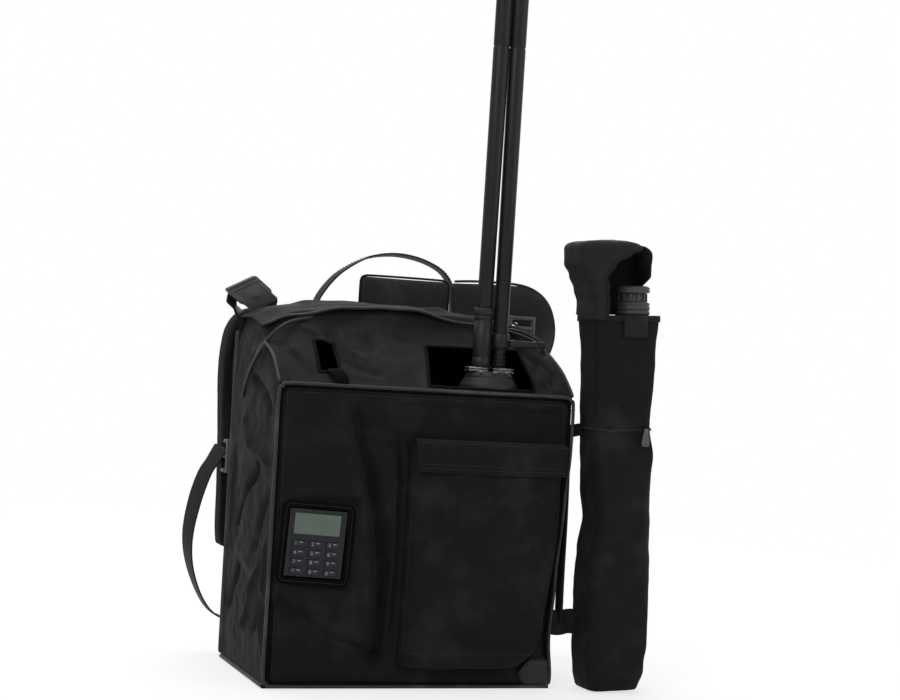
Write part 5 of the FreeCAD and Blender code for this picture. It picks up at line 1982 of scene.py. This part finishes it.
@dataclass
class Quiver:
    """The side quiver with its hood, zip and the spare whip.

    Attributes:
        foot: where its axis stands.
        side: width of the tube.
        tall: length of the tube.
        hood: height of the hood over it.
        lean: lean to the left, in degrees.
        left_swell: how far the left side bulges, by height.
        right_swell: the same for the right side.
        hood_flare: how far the hood's left side flares, by height over the tube.
        mouth_edge: depth of the hood's front edge, by height.
        wall_edge: depth of the hood's right edge, by height.
        folds: folds of the tube's front.
    """

    foot: Point = (221.0, -92.0, 2.0)
    side: float = 60.0
    tall: float = 380.0
    hood: float = 74.0
    lean: float = 3.0
    left_swell: tuple[tuple[float, float], ...] = (
        (0, 9), (40, 11), (110, 10), (140, 7), (172, 1), (205, 4), (240, 5), (300, 6), (345, 6), (380, 9))
    right_swell: tuple[tuple[float, float], ...] = (
        (4, -10), (22, -5), (52, -1), (100, 0), (180, -1), (240, 1), (268, -3), (320, 1),
        (350, 2), (380, 5))
    hood_flare: tuple[tuple[float, float], ...] = (
        (-5, 9), (14, 8), (26, 12), (40, 18), (52, 23), (80, 25))
    mouth_edge: tuple[tuple[float, float], ...] = (
        (14, -21), (36, -17.5), (52, -7), (62, 6), (70, 17))
    wall_edge: tuple[tuple[float, float], ...] = ((20, 31), (42, -10), (60, -14))
    folds: tuple[Fold, ...] = (
        Fold(((-28, 300), (-6, 286), (20, 292)), 7.0, -4.5, 10),
        Fold(((-24, 276), (0, 268), (24, 276)), 6.0, 3.0, 10),
        Fold(((-26, 250), (-12, 258), (4, 266)), 5.0, -3.0, 8),
        Fold(((-20, 30), (0, 24), (20, 34)), 7.0, -3.0, 10),
        Fold(((24, 240), (26, 160), (24, 60)), 6.0, -2.0, 30),
        Fold(((-22, 236), (-18, 150), (-16, 60)), 6.0, 2.0, 30),
        Fold(((10, 262), (16, 240), (20, 214)), 5.0, -2.5, 14),
    )

    def frame_of(self) -> Matrix:
        """The quiver's own frame, leaning to the left."""
        return Matrix.Translation(self.foot) @ Matrix.Rotation(math.radians(-self.lean), 4, "Y")

    def ring(self, around: float, up: float, grow: float = 0.0) -> Vector:
        """A point of the tube's wall in its own frame.

        Args:
            around: share of a turn, 0 at the left of the front.
            up: height.
            grow: how far outside the wall.

        Returns:
            The point.
        """
        turn = math.tau * (around - 0.375)
        c, s = squarish(turn, 5.5)
        half = self.side / 2 - 1.0
        half *= 0.9 + 0.1 * ease(-6, 16, up)
        x, y = c * half, s * half
        out = Vector((x, y, 0)).normalized()
        flat = Vector((x, y, up))
        lift = 1.2 * crumple(flat, 30, 3.3) + 0.6 * crumple(flat, 12, 5.1) + grow
        if y < -half * 0.7:
            lift += folded(self.folds, x, up)
        point = Vector((x, y, up)) + out * lift
        leftward = ((half - x) / (2 * half)) ** 1.5
        rightward = ((half + x) / (2 * half)) ** 1.5
        point.x -= leftward * between(up, self.left_swell)
        point.x += rightward * between(up, self.right_swell)
        return point

    def build(self) -> None:
        """Make the tube, hood, fittings, loops and what it holds."""
        place = self.frame_of()

        def body(u: float, v: float) -> Vector:
            """A point of the tube."""
            return place @ self.ring(u / 236.0, v)

        form = Form().sheet((0, 236, 0, self.tall), 3.2, body)
        bmesh.ops.remove_doubles(form.bm, verts=form.bm.verts[:], dist=0.05)
        rims = [e for e in form.bm.edges
                if e.is_boundary and (e.verts[0].co.z + e.verts[1].co.z) / 2 < 60]
        bmesh.ops.holes_fill(form.bm, edges=rims)
        bmesh.ops.recalc_face_normals(form.bm, faces=form.bm.faces[:])
        form.outwards(Vector((0, 0, -1)))
        tube = sewn(form, "quiver_tube")
        dress(tube, QUIVER_CLOTH, stands_for=["quiver_body"])
        hem = Form()
        for height, wide in ((377.0, 7.0), (266.0, 3.0)):
            rim = [place @ self.ring(i / 72, height, 0.7) for i in range(72)]
            hem.sweep(rim, always(*(place.to_3x3() @ UP)), oval(wide, 1.8, 8, 4), closed=True)
        dress(soften(hem.piece("quiver_hem")), TAPE)
        self.add_hood(place)
        self.add_fittings(place)
        self.add_loops()
        self.add_spare(place)

    def hood_point(self, u: float, v: float) -> Vector:
        """Where a point of the hood hangs, in the quiver's frame.

        Args:
            u: share of the way from the mouth's edge round the left and the back to its other edge.
            v: share of the way from the foot up the wall and over the roof to its middle.

        Returns:
            The point.
        """
        tall, round_by = self.hood, 8.0
        wall, bend = 0.7, 0.84
        turn = math.radians(90) * (v - wall) / (bend - wall)
        if v < wall:
            height, inset = -4.5 + (tall - round_by + 4.5) * v / wall, 0.0
        elif v < bend:
            height, inset = tall - round_by * (1 - math.sin(turn)), round_by * (1 - math.cos(turn))
        else:
            height, inset = tall, round_by
        half = self.side / 2 + 0.8
        meet = ease(bend, bend + 0.05, v)
        start = math.atan2(-half, between(height, self.mouth_edge)) * (1 - meet) - math.radians(45) * meet
        behind = math.atan2(between(height, self.wall_edge), half)
        end = behind * (1 - meet) - math.radians(45) * meet - math.tau
        angle = start + (end - start) * u
        c, s = squarish(angle, 7.0)
        x, y = c * (half - inset), s * (half - inset)
        if v > bend:
            share = (v - bend) / (1 - bend)
            x, y = x * (1 - share), y * (1 - share)
            height += 2.0 * math.sin(share * math.pi / 2)
        leftward = ((half - x) / (2 * half)) ** 1.3
        narrowed = between(height, ((20, 0), (60, 3)))
        x -= leftward * between(height, self.hood_flare) + (1 - leftward) * narrowed
        height -= 5.0 * ease(-10, 34, x) * ease(30, 70, height)
        if y > half * 0.6:
            height = max(height, 0.8)
        out = Vector((x, y, 0)).normalized() if v < bend else Vector((0, 0, 1))
        flat = Vector((x, y, height))
        lift = 1.4 * crumple(flat, 22, 8.2) + 0.5 * crumple(flat, 9, 2.9)
        return Vector((x, y, self.tall + height)) + out * lift * ease(-4, 12, height)

    def add_hood(self, place: Matrix) -> None:
        """The hood: a cap whose mouth opens to the front right, over the spare's hub."""
        form = Form().sheet((0, 1, 0, 1), 0.0143, lambda u, v: place @ self.hood_point(u, v))
        bmesh.ops.remove_doubles(form.bm, verts=form.bm.verts[:], dist=0.4)
        bmesh.ops.recalc_face_normals(form.bm, faces=form.bm.faces[:])
        form.outwards(Vector((-1, -0.6, 0.6)))
        hood = sewn(form, "quiver_hood_cloth", 2.0)
        # The hood takes the paler, lit copy of the quiver nylon: painted light.
        dress(hood, HOOD_CLOTH_LIT, Body.HOOD, ["quiver_hood"])
        rim = [place @ self.hood_point(0.0, 0.02 * i) for i in range(37)]
        binding = Form().sweep(rim, always(0.3, -1, 0), oval(3.0, 3.6, 8))
        dress(soften(binding.piece("hood_mouth_binding")), TAPE, Body.HOOD)

    def add_fittings(self, place: Matrix) -> None:
        """Tab, zip with its teeth, and the pull."""
        tab = Form().sheet((-16, 10, 358, 380), 2.0, lambda u, v: place @ Vector(
            (u + 6, -31.2 - 1.4 * math.sin(math.pi * (u + 16) / 26), v)))
        tab.outwards(FRONTWARD)
        dress(sewn(tab, "quiver_tab_strip", 1.2), WEBBING, stands_for=["quiver_tab"])
        teeth = Form()
        for i in range(26):
            u = -27 + i * 1.75
            teeth.brick((0.9, 1.4, 3.4), tuple(place @ Vector((u, -31.0, 268 + 0.8 * (i % 2)))),
                        0.3, 1, place.to_3x3().to_4x4())
        for dz in (-3.2, 4.0):
            teeth.sweep([place @ Vector((u, -30.6, 268.4 + dz)) for u in range(-28, 24, 4)],
                        always(0, 0, 1), oval(3.4, 1.0, 8, 4))
        dress(teeth.piece("quiver_zip_row"), TAPE, stands_for=["quiver_zip"])
        _, _, middle = span("zip_pull")
        upright = Matrix.Translation(middle) @ Matrix.Rotation(math.radians(90), 4, "X")
        pull = Form().slab([(-3.6, -9), (3.6, -9), (4.4, -5), (2.6, 6), (2.2, 9.4), (-2.2, 9.4),
                            (-2.6, 6), (-4.4, -5)], 1.6, -0.8, upright, 0.4, 1)
        dress(pull.piece("zip_pull_tag"), DULL_METAL, Body.PULL, ["zip_pull"])

    def add_loops(self) -> None:
        """The two webbing loops that tie the quiver to the bag."""
        loops = Form()
        for z, tall in ((263, 13), (67, 26)):
            route = smooth_route([(150.5, -78, z), (160, -80, z - 1), (171, -79, z + 1), (184, -78, z)], 5)
            loops.sweep(route, always(0, 0, 1), oval(tall, 3.0, 12, 5))
        standing = smooth_route([(154, -78, 268), (157, -79, 240), (158.5, -80, 180),
                                 (159, -80, 120), (160, -80, 66)], 6)
        loops.sweep(standing, always(0, 1, 0), oval(18, 2.6, 12, 5))
        dress(soften(loops.piece("quiver_tie_loops")), WEBBING, stands_for=["quiver_loops"])

    def add_spare(self, place: Matrix) -> None:
        """The folded spare whip and the ribbed hub on its top."""
        lean = place.to_3x3().to_4x4()
        rods = Form()
        for x in (0.5, 17.5):
            rods.lathe([(0, 2.6), (5.6, 2.6), (6, 3.2), (6, 379.4), (5.6, 380), (0, 380)],
                       tuple(place @ Vector((x, 0, 0))), 32, lean)
        dress(rods.piece("spare_whip_rods"), WHIP, stands_for=["spare_whip"])
        centre = 12.5
        ribbed = [(0, 380), (13.6, 380), (15, 381.4), (15, 384), (14.2, 385), (15, 386), (15, 389),
                  (14.2, 390), (15, 391), (15, 392.4), (12.4, 394), (11, 395), (11, 401),
                  (12.4, 402.4), (15, 403.6), (15, 405), (14.2, 405.8), (15, 406.6), (14.6, 408.6),
                  (12, 410), (0, 410)]
        hub = Form().lathe([(radius * 1.2, z) for radius, z in ribbed],
                           tuple(place @ Vector((centre, 0, 0))), 40, lean)
        ribs, reach = 12, 14.6
        for i in range(ribs):
            turn = math.tau * i / ribs
            spot = Vector((centre + reach * math.cos(turn), reach * math.sin(turn), 398))
            hub.brick((1.6, 2.4, 8.0), tuple(place @ spot), 0.5, 2,
                      lean @ Matrix.Rotation(turn, 4, "Z"))
        dress(hub.piece("spare_hub_ribbed"), HUB, stands_for=["spare_hub"])


# ------------------------------------------------------------------ the whole radio

def main() -> None:
    """Build the studio and every sub-assembly in order."""
    logging.basicConfig(level=logging.INFO, format="%(message)s")
    scene = bpy.context.scene
    scene.view_settings.view_transform = "Standard"
    for part in (Studio(), PackedNodes(), CarrierBag(), FrontPocket(), ControlHead(), WhipMast(),
                 Harness(), Quiver()):
        part.build()
        log.info("built %s", type(part).__name__)


if __name__ == "__main__":
    main()
